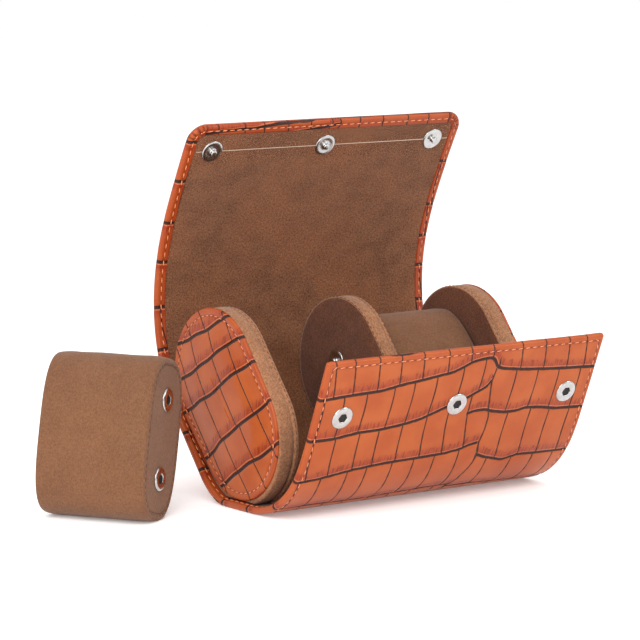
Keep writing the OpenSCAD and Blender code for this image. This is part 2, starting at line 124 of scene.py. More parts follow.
# Distance from one stitch to the next, length and thickness of a stitch.
CAP_STITCH, RIM_STITCH, CUSHION_STITCH = (3.6, 2.4, 0.5), (3.0, 1.9, 0.4), (3.2, 2.0, 0.4)
STITCH_LEAN = 5                    # degrees
BROWN_THREAD = (70 / 255, 42 / 255, 28 / 255)
# A cap's leather face stays round at its lower end, which is lifted and smaller there.
CAP_FACE = {"step": 0.8, "lift": 1.2, "low_r": 31.2}
FACE_INSETS = (0.5, 0.62, 0.9, 1.4, 2.2, 3.2, 4.4)
FACE_DROPS = (1.0, 0.6, 0.28, 0.08)
NO_FLOOR = -1e3
FAR = 1e3                          # the gap to a groove that isn't there

# ---- the wrap as one line, from the flap's free edge to the lid's ----

Piece = namedtuple("Piece", "name start end bodies node free")


def base_stretches():
    """(length, turn) of the stretches of the wrap between the two first folds."""
    rise, drop = WRAP_R - BOTTOM_BEND_R, WRAP_R - BOTTOM_SAG - BOTTOM_BEND_R
    bend_y = math.sqrt(rise**2 - drop**2)
    bend = math.degrees(math.atan2(bend_y, drop))
    return [
        (FLAP_START + bend_y, 0.0),
        (BOTTOM_BEND_R * math.radians(bend), bend),
        (WRAP_R * math.radians(TILT - bend), TILT - bend),
        (CAP_STRAIGHT, 0.0),
        (LID_LEAD, LID_LEAD_TURN),
    ]


FLAP_L = FLAP_PANEL + len(FLAP_TURNS) * FLAP_STRIP
LID_START = FLAP_L + sum(length for length, _ in base_stretches())
WRAP_L = LID_START + len(LID_TURNS) * LID_STRIP + LID_PANEL


def wrap_line(step=0.25):
    """Distance, Y, Z and heading along the wrap's inner surface."""
    stretches = [(FLAP_PANEL, FLAP_PANEL_TURN), *((FLAP_STRIP, turn) for turn in reversed(FLAP_TURNS))]
    stretches += [*base_stretches(), *((LID_STRIP, turn) for turn in LID_TURNS), (LID_PANEL, LID_PANEL_TURN)]
    lengths, turns = np.array(stretches, float).T
    ends = np.concatenate([[0.0], np.cumsum(lengths)])
    s = np.unique(np.concatenate([np.arange(0, ends[-1], step), ends]))
    stretch = np.searchsorted(ends, (s[1:] + s[:-1]) / 2) - 1
    ds = np.diff(s)
    run = lambda slope: np.concatenate([[0.0], np.cumsum(slope * ds)])
    heading = run(turns[stretch] / lengths[stretch])
    fold = np.argmin(abs(s - FLAP_L))
    heading -= heading[fold]
    way = np.radians((heading[1:] + heading[:-1]) / 2)
    y, z = run(np.cos(way)), run(np.sin(way))
    return s, y - y[fold] - FLAP_START, z - z[fold] + WRAP_T, np.radians(heading)


LINE = wrap_line()


def outward(s):
    """Unit normals of the wrap, out of the case."""
    heading = np.interp(s, LINE[0], LINE[3])
    return np.stack([np.zeros_like(heading), np.sin(heading), -np.cos(heading)], -1)


def on_wrap(x, s, t):
    """Points at x along the case, s along the wrap and t out from its inner surface."""
    x, s, t = np.broadcast_arrays(*(np.asarray(v, float) for v in (x, s, t)))
    inner = np.stack([x, np.interp(s, LINE[0], LINE[1]), np.interp(s, LINE[0], LINE[2])], -1)
    return inner + t[..., None] * outward(s)


def folds(side, first, strip, count):
    """The pieces round the folds of the flap or the lid, from the base outwards."""
    bodies = ["base", *(f"{side}_strip_{k + 1}" for k in range(count)), f"{side}_panel"]
    made = []
    for k in range(count + 1):
        fold, half, pair = first + k * strip, abs(strip) / 2, bodies[k:k + 2]
        node = f"{side}_{{}}_{k + 1}" if k < count else None
        if strip < 0:
            pair = pair[::-1]
        made.append(Piece(f"{side}_fold_{k + 1}", fold - half, fold + half, pair, node, None))
    return made


def wrap_pieces():
    """The pieces that the wrap is cut into, from the flap's free edge to the lid's.

    They meet at the middles of the strips, so each one bends round a single fold.
    """
    flap = folds("flap", FLAP_L, -FLAP_STRIP, len(FLAP_TURNS))
    lid = folds("lid", LID_START, LID_STRIP, len(LID_TURNS))
    flap_panel = Piece("flap_panel", 0.0, flap[-1].start, ["flap_panel"], "flap_panel_{}", "low")
    base = Piece("base", flap[0].end, lid[0].start, ["base"], "base_{}", None)
    lid_panel = Piece("lid_panel", lid[-1].end, WRAP_L, ["lid_panel"], "lid_panel_{}", "high")
    return [flap_panel, *flap[::-1], base, *lid, lid_panel]


def fasten(obj, piece, layer=None):
    """Lets a part of the wrap ride on its body, or bend between its two bodies."""
    if len(piece.bodies) == 1:
        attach(obj, piece.bodies[0])
    else:
        start, end = (on_wrap(0, s, 0) * MM for s in (piece.start, piece.end))
        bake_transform(obj, *piece.bodies, start=start, end=end)
    if layer and piece.node:
        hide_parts(piece.node.format(layer))


def settle(obj, body, *nodes, slot=None):
    """Lets a piece ride on a body and stand for its CAD nodes; slot is not used."""
    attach(obj, body)
    if nodes:
        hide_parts(*nodes)


# ---- meshes ----


def smooth_step(low, high, value):
    share = np.clip((value - low) / (high - low), 0, 1)
    return share * share * (3 - 2 * share)


def bell(value, centre, width):
    return np.exp(-(((value - centre) / width) ** 2))


def new_object(name, data):
    obj = bpy.data.objects.new(name, data)
    bpy.context.scene.collection.objects.link(obj)
    return obj


def add_object(name, points, faces, finish, attributes=None, uv=None, merge=True, walls=0):
    """A closed mesh object from points in millimetres, with its normals outwards.

    The last faces, as many as walls, are flat cuts with sharp edges.
    """
    mesh = bpy.data.meshes.new(name)
    points = np.asarray(points, float).reshape(-1, 3) * MM
    mesh.from_pydata(points.tolist(), [], [list(map(int, f)) for f in faces])
    corner = np.zeros(len(mesh.loops), np.int32)
    mesh.loops.foreach_get("vertex_index", corner)
    first = np.zeros(len(mesh.polygons), np.int32)
    mesh.polygons.foreach_get("loop_start", first)
    for key, values in (attributes or {}).items():
        values = np.asarray(values, np.float32).ravel()[corner]
        # Where the nearest groove changes within a face, its sign would fake a groove.
        spread = np.maximum.reduceat(values, first) - np.minimum.reduceat(values, first)
        spread = np.repeat(spread, np.diff(np.append(first, len(corner))))
        values = np.where(spread > 4, abs(values), values)
        mesh.attributes.new(key, "FLOAT", "CORNER").data.foreach_set("value", values)
    if uv is not None:
        layer = mesh.uv_layers.new(name="UVMap")
        layer.data.foreach_set("uv", np.asarray(uv, np.float32).reshape(-1, 2)[corner].ravel())
    work = bmesh.new()
    work.from_mesh(mesh)
    if merge:
        bmesh.ops.remove_doubles(work, verts=work.verts, dist=2e-6)
        bmesh.ops.dissolve_degenerate(work, dist=1e-7, edges=work.edges)
    bmesh.ops.recalc_face_normals(work, faces=work.faces)
    if work.calc_volume(signed=True) < 0:
        bmesh.ops.reverse_faces(work, faces=work.faces)
    work.faces.ensure_lookup_table()
    for face in work.faces:
        face.smooth = True
    for face in work.faces[len(work.faces) - walls:]:
        for edge in face.edges:
            edge.smooth = False
    work.to_mesh(mesh)
    work.free()
    mesh.materials.append(finish)
    return new_object(name, mesh)


def grid_faces(index, close_rows=False, close_columns=False):
    """Quads over a grid of point numbers."""
    if close_rows:
        index = np.vstack([index, index[:1]])
    if close_columns:
        index = np.hstack([index, index[:, :1]])
    a, b, c, d = index[:-1, :-1], index[:-1, 1:], index[1:, 1:], index[1:, :-1]
    return np.stack([a, b, c, d], -1).reshape(-1, 4)


def grid_object(name, points, finish, close_rows=True, attributes=None, uv=None):
    """A form over a grid of points whose columns run round it."""
    index = np.arange(points[..., 0].size).reshape(points.shape[:2])
    return add_object(name, points, grid_faces(index, close_rows, True), finish, attributes, uv)


def sheet_object(name, outer, inner, finish, joined=None, attributes=None, uv=None):
    """A thick sheet of two like grids, joined where the mask says and closed at its cut ends.

    Each attribute and each part of the UV map is a pair of the outer and the inner grid's values.
    """
    if joined is None:
        joined = np.zeros(outer.shape[:2], bool)
    out_index = np.arange(joined.size).reshape(joined.shape)
    in_index = np.where(joined, out_index, out_index + joined.size)
    faces = [grid_faces(out_index)[:, ::-1], grid_faces(in_index)]
    surfaces = 2 * len(faces[0])
    for cut in (np.s_[0], np.s_[-1], np.s_[:, 0], np.s_[:, -1]):
        if not joined[cut].all():
            a, b = out_index[cut], in_index[cut]
            faces.append(np.stack([a[:-1], a[1:], b[1:], b[:-1]], -1))
    kept, walls = [], 0
    for number, face in enumerate(np.concatenate(faces)):
        corners = list(dict.fromkeys(face.tolist()))
        if len(corners) > 2:
            kept.append(corners)
            walls += number >= surfaces
    used = np.zeros(2 * joined.size, bool)
    used[np.concatenate(kept)] = True
    number = np.cumsum(used) - 1
    both = lambda pair: np.concatenate([values.ravel() for values in pair])[used]
    points = np.concatenate([outer.reshape(-1, 3), inner.reshape(-1, 3)])[used]
    attributes = {key: both(pair) for key, pair in (attributes or {}).items()}
    uv = np.stack([both(pair) for pair in uv], -1) / 100 if uv else None
    faces = [number[f] for f in kept]
    return add_object(name, points, faces, finish, attributes, uv, merge=False, walls=walls)


# ---- the embossed pattern: rows of scales between long wavy grooves ----

# Long grooves on the front, as (x, distance from the flap's free edge): the first one runs all
# across, the others meet a wandering break where the rows of the two sides don't fit.
FIRST_GROOVE = (
    (-80, 19), (-61, 17.8), (-46.5, 17.4), (-35.5, 15.4), (-25, 14.2), (-13, 12.5), (-7, 11.7), (-2, 9.7),
    (3, 7.3), (9, 6.3), (13.5, 6), (16, 7.3), (18.5, 11.3), (22.5, 12.7), (34, 14.2), (48, 15.4),
    (60.5, 16.2), (77, 17),
)
LEFT_GROOVES = (
    ((-80, 40.1), (-67, 40.1), (-54, 38.4), (-41.5, 38.1), (-29, 36.8), (-19, 35), (-8.5, 31.2), (5.5, 26.3),
     (10.5, 23.9), (15, 21.9), (17, 19.4), (18, 17.6)),
    ((-80, 62.3), (-69, 61.5), (-50, 58.5), (-34, 57.1), (-22.5, 56.7), (1, 55.9), (10, 54.6), (15.5, 52.6),
     (20.5, 51.8)),
)
RIGHT_GROOVES = (
    ((7.5, 35.2), (12.5, 34), (18.5, 34), (22, 35.2), (30.5, 36.8), (38, 36.8), (42.5, 35.6), (52.5, 36.4),
     (62, 38.1), (79, 38.9)),
    ((22.5, 59.1), (27.5, 61.1), (39.5, 64.4), (48, 62.3), (58, 62.7), (80, 63.1)),
)
BREAK = (
    (11.3, 18.5), (15, 18), (18.6, 17.5), (22.3, 18), (27.5, 19), (33.2, 20), (37.6, 21.5), (44.5, 21.5),
    (52.2, 20.5), (59.1, 22.5), (69, 21), (95, 10), (125, -24), (160, -6), (200, 30), (240, 12), (280, -20),
    (330, 5),
)
# Grooves on the turned margins: (from, to) along the case, place on the wrap and slope.
MARGIN_GROOVES = (((-72, -2), WRAP_L + 7.6, 0.08), ((48, 90), WRAP_L + 1.2, -0.02), ((-79, -14), -1.4, 0.0))
# The long grooves on a cap's face, as (place on the way up, slope).
CAP_GROOVES = (
    (98.0, -0.1), (82.7, -0.16), (68.6, -0.08), (54.2, -0.055), (31.5, 0.01), (13.7, -0.04), (-6.0, 0.0),
)
CAP_UP, CAP_ALONG = 0.540, 0.841   # the direction across a cap's grooves
CAP_CROSS_PITCH = 14.5


def noise_wave(x, seed, length, size):
    """A smooth repeatable wave of a few sines."""
    rng = np.random.default_rng(seed)
    total = np.zeros_like(np.asarray(x, float))
    for k in range(1, 4):
        total += np.sin(2 * np.pi * (k * x / length + rng.random())) * rng.uniform(0.4, 1.0) / k
    return size * total / 1.6


def along_line(points, at):
    """A measured line, a little smoothed, and its slope."""
    first, second = np.array(points, float).T
    read = lambda k: sum(np.interp(at + k + d, first, second) for d in (-1.2, -0.6, 0, 0.6, 1.2)) / 5
    return read(0.0), (read(0.6) - read(-0.6)) / 1.2


def nearer(a, b):
    return np.where(abs(a) < abs(b), a, b)


def scales(x, s, look):
    """Signed distances to the nearest long groove and to the nearest cross groove.

    x runs along the case and s along the wrap. The rows on the two sides of a wandering break
    don't meet, as on real skin.
    """
    pitch, cross_pitch = look.row_pitch / MM, look.cross_pitch / MM
    fault, _ = along_line(BREAK, s)
    fault = fault + smooth_step(62, 82, s) * (noise_wave(s, 91, 27, 2.2) + noise_wave(s, 92, 11, 0.7))
    left = x < fault
    main, above = np.full(x.shape, FAR), np.full(x.shape, -23.0)
    row = np.zeros(x.shape, int)
    for n in range(-1, 17):
        if n == 0:
            line, slope = along_line(FIRST_GROOVE, x)
        elif n in (1, 2):
            sides = [along_line(grooves[n - 1], x) for grooves in (LEFT_GROOVES, RIGHT_GROOVES)]
            line, slope = (np.where(left, *pair) for pair in zip(*sides))
        else:
            rise = 8 * np.sin(0.9 * n) if n > 0 else 2
            line = np.where(
                left,
                20 + pitch * n - rise * smooth_step(-50, 20, x) ** 1.5 + noise_wave(x, 40 + n, 90, 1.2),
                17 + (pitch + 0.9) * n + rise * smooth_step(20, 75, x) + noise_wave(x, 80 + n, 70, 1.0),
            )
            slope = 0.1
        gap = s - line
        row += gap > 0
        above = np.where(gap > 0, line, above)
        main = nearer(gap / np.sqrt(1 + slope**2), main)
    for (start, end), place, slope in MARGIN_GROOVES:
        gap = s - (place - slope * (x - start) + noise_wave(x, 23, 31, 0.5))
        main = np.where((x > start) & (x < end), nearer(gap, main), main)
    gap = s - along_line(RIGHT_GROOVES[0], x)[0]
    main = np.where(left & (x > 7.5) & (abs(gap) < 6), nearer(gap, main), main)
    rng = np.random.default_rng(12)
    side = np.where(left, 0, 1)
    shift = rng.uniform(-1.8, 1.8, (2, 40))
    lean = rng.uniform(0.02, 0.14, (2, 40))
    wobble = rng.uniform(-1.6, 1.6, (2, 40, 40))
    bend = rng.uniform(0.5, 1.0, (2, 40)) * 0.8
    rel = s - above
    base = x - lean[side, row] * rel - shift[side, row] + 65.0
    base += bend[side, row] * np.sin(rel / 6.5 + 2.0 * row)
    spacing = cross_pitch * np.where(left, 1.0, 1.08)
    number = np.round(base / spacing).astype(int)
    cross = np.full(x.shape, FAR)
    for step in (-1, 0, 1):
        m = np.clip(number + step, -19, 20)
        cross = nearer(base - m * spacing - wobble[side, row, m + 19], cross)
    return main, nearer(np.where(s > 12, (x - fault) * 0.8, FAR), cross)


def cap_scales(points):
    """The pattern on a cap's face, where the long grooves slant across the oval."""
    y, z = points[..., 1], points[..., 2]
    up, along = CAP_UP * y + CAP_ALONG * z, CAP_UP * z - CAP_ALONG * y
    main, row = np.full(y.shape, FAR), np.zeros(y.shape, int)
    for n, (place, slope) in enumerate(CAP_GROOVES):
        gap = place + slope * (along - 16) + noise_wave(along, 60 + n, 48, 0.9) - up
        row += gap > 0
        main = nearer(gap, main)
    rng = np.random.default_rng(5)
    shift, lean = rng.uniform(-3, 3, 9), rng.uniform(-0.06, 0.12, 9)
    wobble = rng.uniform(-1.2, 1.2, (9, 30))
    base = along + 7 - shift[row] + lean[row] * (up - 50)
    number = np.round(base / CAP_CROSS_PITCH).astype(int)
    return main, base - number * CAP_CROSS_PITCH - wobble[row, number % 30]


def relief(main, cross, look):
    """Height of the embossed surface over its mean, in millimetres."""
    depth = look.groove_depth / MM
    pillow = 0.12 * (1 - np.exp(-abs(main) / 3.0))
    groove = depth * (1 - smooth_step(0.3, 1.1, abs(main)))
    line = 0.45 * depth * (1 - smooth_step(0.1, 0.6, abs(cross)))
    return pillow - np.maximum(groove, line)


# ---- materials ----


def srgb(red, green, blue):
    """A display colour of 0 to 255 as Blender's linear values."""
    shares = (min(c, 255) / 255 for c in (red, green, blue))
    return tuple(c / 12.92 if c <= 0.04045 else ((c + 0.055) / 1.055) ** 2.4 for c in shares)


def linear(colour, factor=1.0):
    """A colour setting times a factor, as linear values."""
    return srgb(*(np.array(colour) * 255 * factor))


def rgba(value):
    return value if isinstance(value, bpy.types.NodeSocket) else (*value, 1.0)


def add_node(tree, kind, inputs=(), out=0, **options):
    """Adds a node with its options and inputs, which are values or sockets; returns one output."""
    node = tree.nodes.new(kind)
    for key, value in options.items():
        setattr(node, key, value)
    for key, value in dict(inputs).items():
        if isinstance(value, bpy.types.NodeSocket):
            tree.links.new(value, node.inputs[key])
        else:
            node.inputs[key].default_value = value
    return node.outputs[out]


class Shader:
    """A material under construction: each call adds nodes and returns their result."""

    def __init__(self, name):
        old = bpy.data.materials.get(name)
        if old:
            bpy.data.materials.remove(old)
        self.material = bpy.data.materials.new(name)
        self.material.use_nodes = True
        self.tree = self.material.node_tree

    def node(self, kind, inputs, out=0, **options):
        return add_node(self.tree, "ShaderNode" + kind, inputs, out, **options)

    def attribute(self, name):
        return self.node("Attribute", {}, "Fac", attribute_name=name)

    def math(self, operation, a, b=0.0):
        return self.node("Math", {0: a, 1: b}, operation=operation)

    def add(self, a, b):
        return self.math("ADD", a, b)

    def sub(self, a, b):
        return self.math("SUBTRACT", a, b)

    def mul(self, a, b):
        return self.math("MULTIPLY", a, b)

    def ramp(self, value, low, high, start=0.0, end=1.0):
        ends = {"Value": value, "From Min": low, "From Max": high, "To Min": start, "To Max": end}
        return self.node("MapRange", ends, interpolation_type="SMOOTHSTEP")

    def mix(self, share, a, b):
        return self.node("Mix", {0: share, 6: rgba(a), 7: rgba(b)}, 2, data_type="RGBA")

    def noise(self, scale, detail=3.0, roughness=0.5, stretch=(1, 1, 1), source="Object"):
        """Noise of a scale per millimetre, by the object's coordinates or its UV map."""
        size = 1000 * scale if source == "Object" else 100 * scale
        place = {"Vector": self.node("TexCoord", {}, source), "Scale": [size * k for k in stretch]}
        look = {"Scale": 1.0, "Detail": detail, "Roughness": roughness}
        return self.node("TexNoise", {"Vector": self.node("Mapping", place), **look})

    def bump(self, height, strength, distance):
        return self.node("Bump", {"Strength": strength, "Distance": distance * MM, "Height": height})

    def finish(self, colour, roughness, normal=None, **fixed):
        inputs = {"Base Color": rgba(colour), "Roughness": roughness}
        if normal:
            inputs["Normal"] = normal
        for key, value in (inputs | fixed).items():
            socket = self.tree.nodes["Principled BSDF"].inputs[key.replace("_", " ")]
            if isinstance(value, bpy.types.NodeSocket):
                self.tree.links.new(value, socket)
            else:
                socket.default_value = value
        return self.material


def embossed_leather(name, look):
    """Glossy two-tone leather: dark grooves, red shading and fine creases beside each long groove, and a
    painted highlight on the lip above each.
    """
    sh = Shader(name)
    main, cross = sh.attribute("main_gap"), sh.attribute("cross_gap")
    wander = sh.sub(sh.noise(0.55, 2.0, source="UV"), 0.5)
    groove = sh.ramp(sh.add(sh.math("ABSOLUTE", main), sh.mul(wander, 0.35)), 0.52, 0.92, 1.0, 0.0)
    carve = sh.math("MAXIMUM", groove, sh.ramp(sh.math("ABSOLUTE", cross), 0.20, 0.46, 0.95, 0.0))
    above = sh.math("LESS_THAN", main, 0.0)
    band = sh.mul(sh.ramp(main, -6.5, -1.2), above)
    streaks = sh.noise(1.0, 0.6, 0.5, (1.15, 0.15, 1), "UV")
    reach = sh.add(band, sh.mul(wander, 0.9))
    creases = sh.mul(sh.ramp(streaks, 0.50, 0.60), sh.mul(sh.ramp(reach, 0.10, 0.35), above))
    # A painted highlight: a pale line on the lip just above each long groove, where its bevel would catch the
    # light.
    lip = sh.mul(sh.ramp(main, -1.6, -1.25), sh.ramp(main, -1.1, -0.85, 1.0, 0.0))
    cloud = sh.noise(0.05, 3.0, source="UV")
    grain = sh.noise(2.4, 3.0, 0.6, source="UV")
    colour = sh.mix(sh.ramp(cloud, 0.35, 0.65), linear(look.tan), linear(look.tan_light))
    for share, amount, layer in (
        (grain, 0.16, srgb(140, 56, 22)),
        (band, 0.75, linear(look.red)),
        (creases, 0.60, srgb(112, 34, 10)),
        (sh.attribute("edge"), 0.28, linear(look.red)),
        # the pale colour of the painted highlight on the groove lips
        (lip, 0.45, srgb(222, 138, 88)),
        # the darker seam channel, and painted shade in the folds of the pleats at the lid's corners
        (sh.attribute("stitch_line"), 0.85, srgb(96, 30, 16)),
    ):
        colour = sh.mix(sh.mul(share, amount), colour, layer)
    colour = sh.mix(carve, colour, linear(look.dark))
    height = sh.sub(sh.sub(sh.mul(grain, 0.10), carve), sh.mul(creases, 0.25))
    roughness = sh.add(sh.mul(carve, 0.25), sh.add(0.30, sh.mul(grain, 0.16)))
    return sh.finish(colour, roughness, sh.bump(height, 0.9, 0.45),
                     Specular_IOR_Level=0.16, Coat_Weight=0.15, Coat_Roughness=0.16)


def suede(name, colour, source="Object", spread=0.7, patchy=0.4):
    """Short nap: fine speckle, brushed patches and a soft sheen."""
    sh = Shader(name)
    speckle = sh.noise(2.1, 2.0, 0.6, (1, 1, 0.7), source)
    strokes = sh.noise(0.95, 2.0, 0.6, source=source)
    patches = sh.noise(0.085, 3.0, 0.55, (1, 1.3, 1.3), source)
    sweep = sh.noise(0.025, 2.0, source=source)
    nap = sh.add(sh.mul(speckle, 0.6), sh.mul(strokes, 0.4))
    tone = linear(colour)
    for cloud, low, high, factor in (
        (patches, 0.36, 0.66, (0.80, 0.75, 0.73)),
        (sweep, 0.38, 0.64, (1.12, 1.08, 1.04)),
    ):
        tone = sh.mix(sh.mul(sh.ramp(cloud, low, high), patchy), tone, linear(colour, factor))
    grain = sh.ramp(nap, 0.38, 0.62, 1 - 0.42 * spread, 1 + 0.42 * spread)
    tone = sh.node("VectorMath", {0: tone, "Scale": grain}, operation="SCALE")
    return sh.finish(tone, 0.95, sh.bump(nap, 0.7, 0.4),
                     Specular_IOR_Level=0.1, Sheen_Weight=0.14, Sheen_Roughness=0.5)


def thread(name, colour):
    sh = Shader(name)
    twist = sh.noise(3.0, 2.0)
    tone = sh.mix(sh.ramp(twist, 0.35, 0.65), linear(colour, 0.78), linear(colour, 1.08))
    return sh.finish(tone, 0.62, sh.bump(twist, 0.4, 0.1), Sheen_Weight=0.15)


def metal(name, colour, roughness):
    sh = Shader(name)
    smear = sh.noise(0.5)
    rough = sh.ramp(smear, 0.3, 0.75, roughness * 0.85, roughness * 1.3)
    tone = sh.mix(sh.ramp(smear, 0.3, 0.7), linear(colour, 0.93), linear(colour))
    return sh.finish(tone, rough, Metallic=1.0)


# A dark disc in each socket's hole: painted shade that stands for the hole's depth.
def dark_hole(name):
    sh = Shader(name)
    return sh.finish(sh.mix(sh.noise(1.5, 2.0), srgb(18, 14, 12), srgb(38, 31, 28)), 0.6, Metallic=0.4)


def clear_film(name):
    sh = Shader(name)
    rough = sh.ramp(sh.noise(0.12), 0.3, 0.7, 0.5, 0.65)
    return sh.finish(srgb(125, 84, 60), rough, Alpha=0.03, Specular_IOR_Level=0.02)


# A painted highlight: the pale line where the clear film's edge catches the light.
def film_line(name):
    sh = Shader(name)
    return sh.finish(sh.mix(sh.noise(0.3, 2.0), srgb(190, 160, 135), srgb(225, 205, 185)), 0.35, Alpha=0.75)


def inner_material(name, *colour):
    """Foam and board inside the case: grainy and matt."""
    sh = Shader(name)
    grain = sh.noise(1.2, 4.0)
    tone = sh.mix(grain, srgb(*(0.85 * c for c in colour)), srgb(*colour))
    return sh.finish(tone, 0.9, sh.bump(grain, 0.3, 0.3))


def material(name, make, *inputs):
    """The material of that name, made once."""
    return bpy.data.materials.get(name) or make(name, *inputs)


# ---- settings ----


def length(name, description, default, low, high):
    return FloatProperty(
        name=name, description=description, default=default * MM, min=low * MM, max=high * MM,
        precision=4, subtype="DISTANCE", unit="LENGTH",
    )


def shade(name, description, *colour):
    return FloatVectorProperty(
        name=name, description=description, default=[c / 255 for c in colour], min=0, max=1,
        size=3, subtype="COLOR_GAMMA",
    )


def strength(name, description, default, high, **unit):
    return FloatProperty(name=name, description=description, default=default, min=0, max=high, **unit)


class CaseLeather(bpy.types.PropertyGroup):
    """The embossed leather."""

    row_pitch: length("Row pitch", "Distance between two long grooves", 21, 14, 30)
    cross_pitch: length("Scale width", "Distance between two cross grooves", 12.6, 8, 20)
    groove_depth: length("Groove depth", "Depth of the long grooves", 0.5, 0.1, 1)
    tan: shade("Tan", "Main colour of the scales", 160, 73, 28)
    tan_light: shade("Light tan", "Colour of the paler scales", 171, 84, 36)
    red: shade("Red shade", "Colour beside the grooves and along the edges", 142, 46, 16)
    dark: shade("Groove", "Colour in the grooves", 50, 28, 22)


class CaseSuede(bpy.types.PropertyGroup):
    """The suede of the lining, the caps and the cushions."""

    lining: shade("Lining", "Colour of the lining", 114, 74, 50)
    # Darker than the lining's suede, partly for its nap and partly as painted shade inside the case.
    face: shade("Inner faces", "Colour of the inner faces of the caps and the divider", 96, 58, 40)
    rim: shade("Rims", "Colour of the rims of the caps and the divider", 142, 100, 72)
    cushion: shade("Cushions", "Colour of the cushions", 113, 77, 54)


class CaseStitches(bpy.types.PropertyGroup):
    """The stitching."""

    pitch: length("Pitch", "Distance from one stitch to the next", 4.0, 2, 8)
    stitch: length("Stitch length", "Length of thread that shows", 2.9, 1, 6)
    thickness: length("Thread", "Thickness of the thread", 0.55, 0.2, 1)
    inset: length("Inset", "Distance of the seam from the edge", 2.9, 2, 5)
    colour: shade("Thread colour", "Colour of the thread", 226, 134, 84)


class CaseSnaps(bpy.types.PropertyGroup):
    """The press snaps."""

    colour: shade("Nickel", "Colour of the snaps", 188, 186, 184)
    roughness: FloatProperty(
        name="Roughness", description="Roughness of the plated metal", default=0.2, min=0.02, max=0.6,
        subtype="FACTOR",
    )


class CaseStage(bpy.types.PropertyGroup):
    """The floor, the lights and the camera."""

    key: strength("Key light", "Power of the key light", 4.3, 60, unit="POWER")
    ambient: strength("Ambient", "Strength of the white light all round", 1.0, 3)
    shadow: strength("Shadow side", "Strength of the light from the left", 0.9, 3)
    focal: FloatProperty(
        name="Focal length", description="Focal length of the camera", default=179.1, min=20, max=400,
        unit="CAMERA",
    )


class CaseSettings(bpy.types.PropertyGroup):
    """Everything that can be set."""

    leather: PointerProperty(type=CaseLeather)
    suede: PointerProperty(type=CaseSuede)
    stitches: PointerProperty(type=CaseStitches)
    snaps: PointerProperty(type=CaseSnaps)
    stage: PointerProperty(type=CaseStage)


def orange_thread(look):
    return material("thread_orange", thread, look.stitches.colour)


def nickel(look):
    return material("nickel_plate", metal, look.snaps.colour, look.snaps.roughness)


# ---- the wrap ----


def edge_columns(width, step):
    """Distances from an edge: close together at the rounded edge and at the margin, then even."""
    close = [0.0, 0.12, 0.35, 0.7, 1.15, 1.6, 2.05, 2.45, 2.9, 3.35, 3.9, 4.5, 5.0, 5.35, 5.9, 6.5, 7.1, 7.7,
             8.3, 8.9]
    count = max(1, round((width - close[-1]) / step))
    return np.array([*close, *np.linspace(close[-1], width, count + 1)[1:]])


def even_rows(start, end, step):
    return np.linspace(start, end, max(2, round((end - start) / step)) + 1)


def rounded(dx, ds, corner):
    """Moves grid points near a corner so that the grid's own corner becomes an arc.

    dx and ds are distances from the side edge and from the free edge. Returns them moved, the
    distance to the outline, and which points are near the corner.
    """
    a, b = 1 - dx / corner, 1 - ds / corner
    near = (a > 0) & (b > 0)
    a, b = np.where(near, a, 0), np.where(near, b, 0)
    a, b = a * np.sqrt(1 - b**2 / 2), b * np.sqrt(1 - a**2 / 2)
    dx, ds = np.where(near, corner * (1 - a), dx), np.where(near, corner * (1 - b), ds)
    return dx, ds, np.where(near, corner * (1 - np.hypot(a, b)), np.minimum(dx, ds)), near


def roll(gap, radius):
    """How far a face drops towards a rounded edge at a distance from the outline."""
    inside = np.clip(radius - gap, 0, radius)
    return radius - np.sqrt(np.maximum(radius**2 - inside**2, 0))


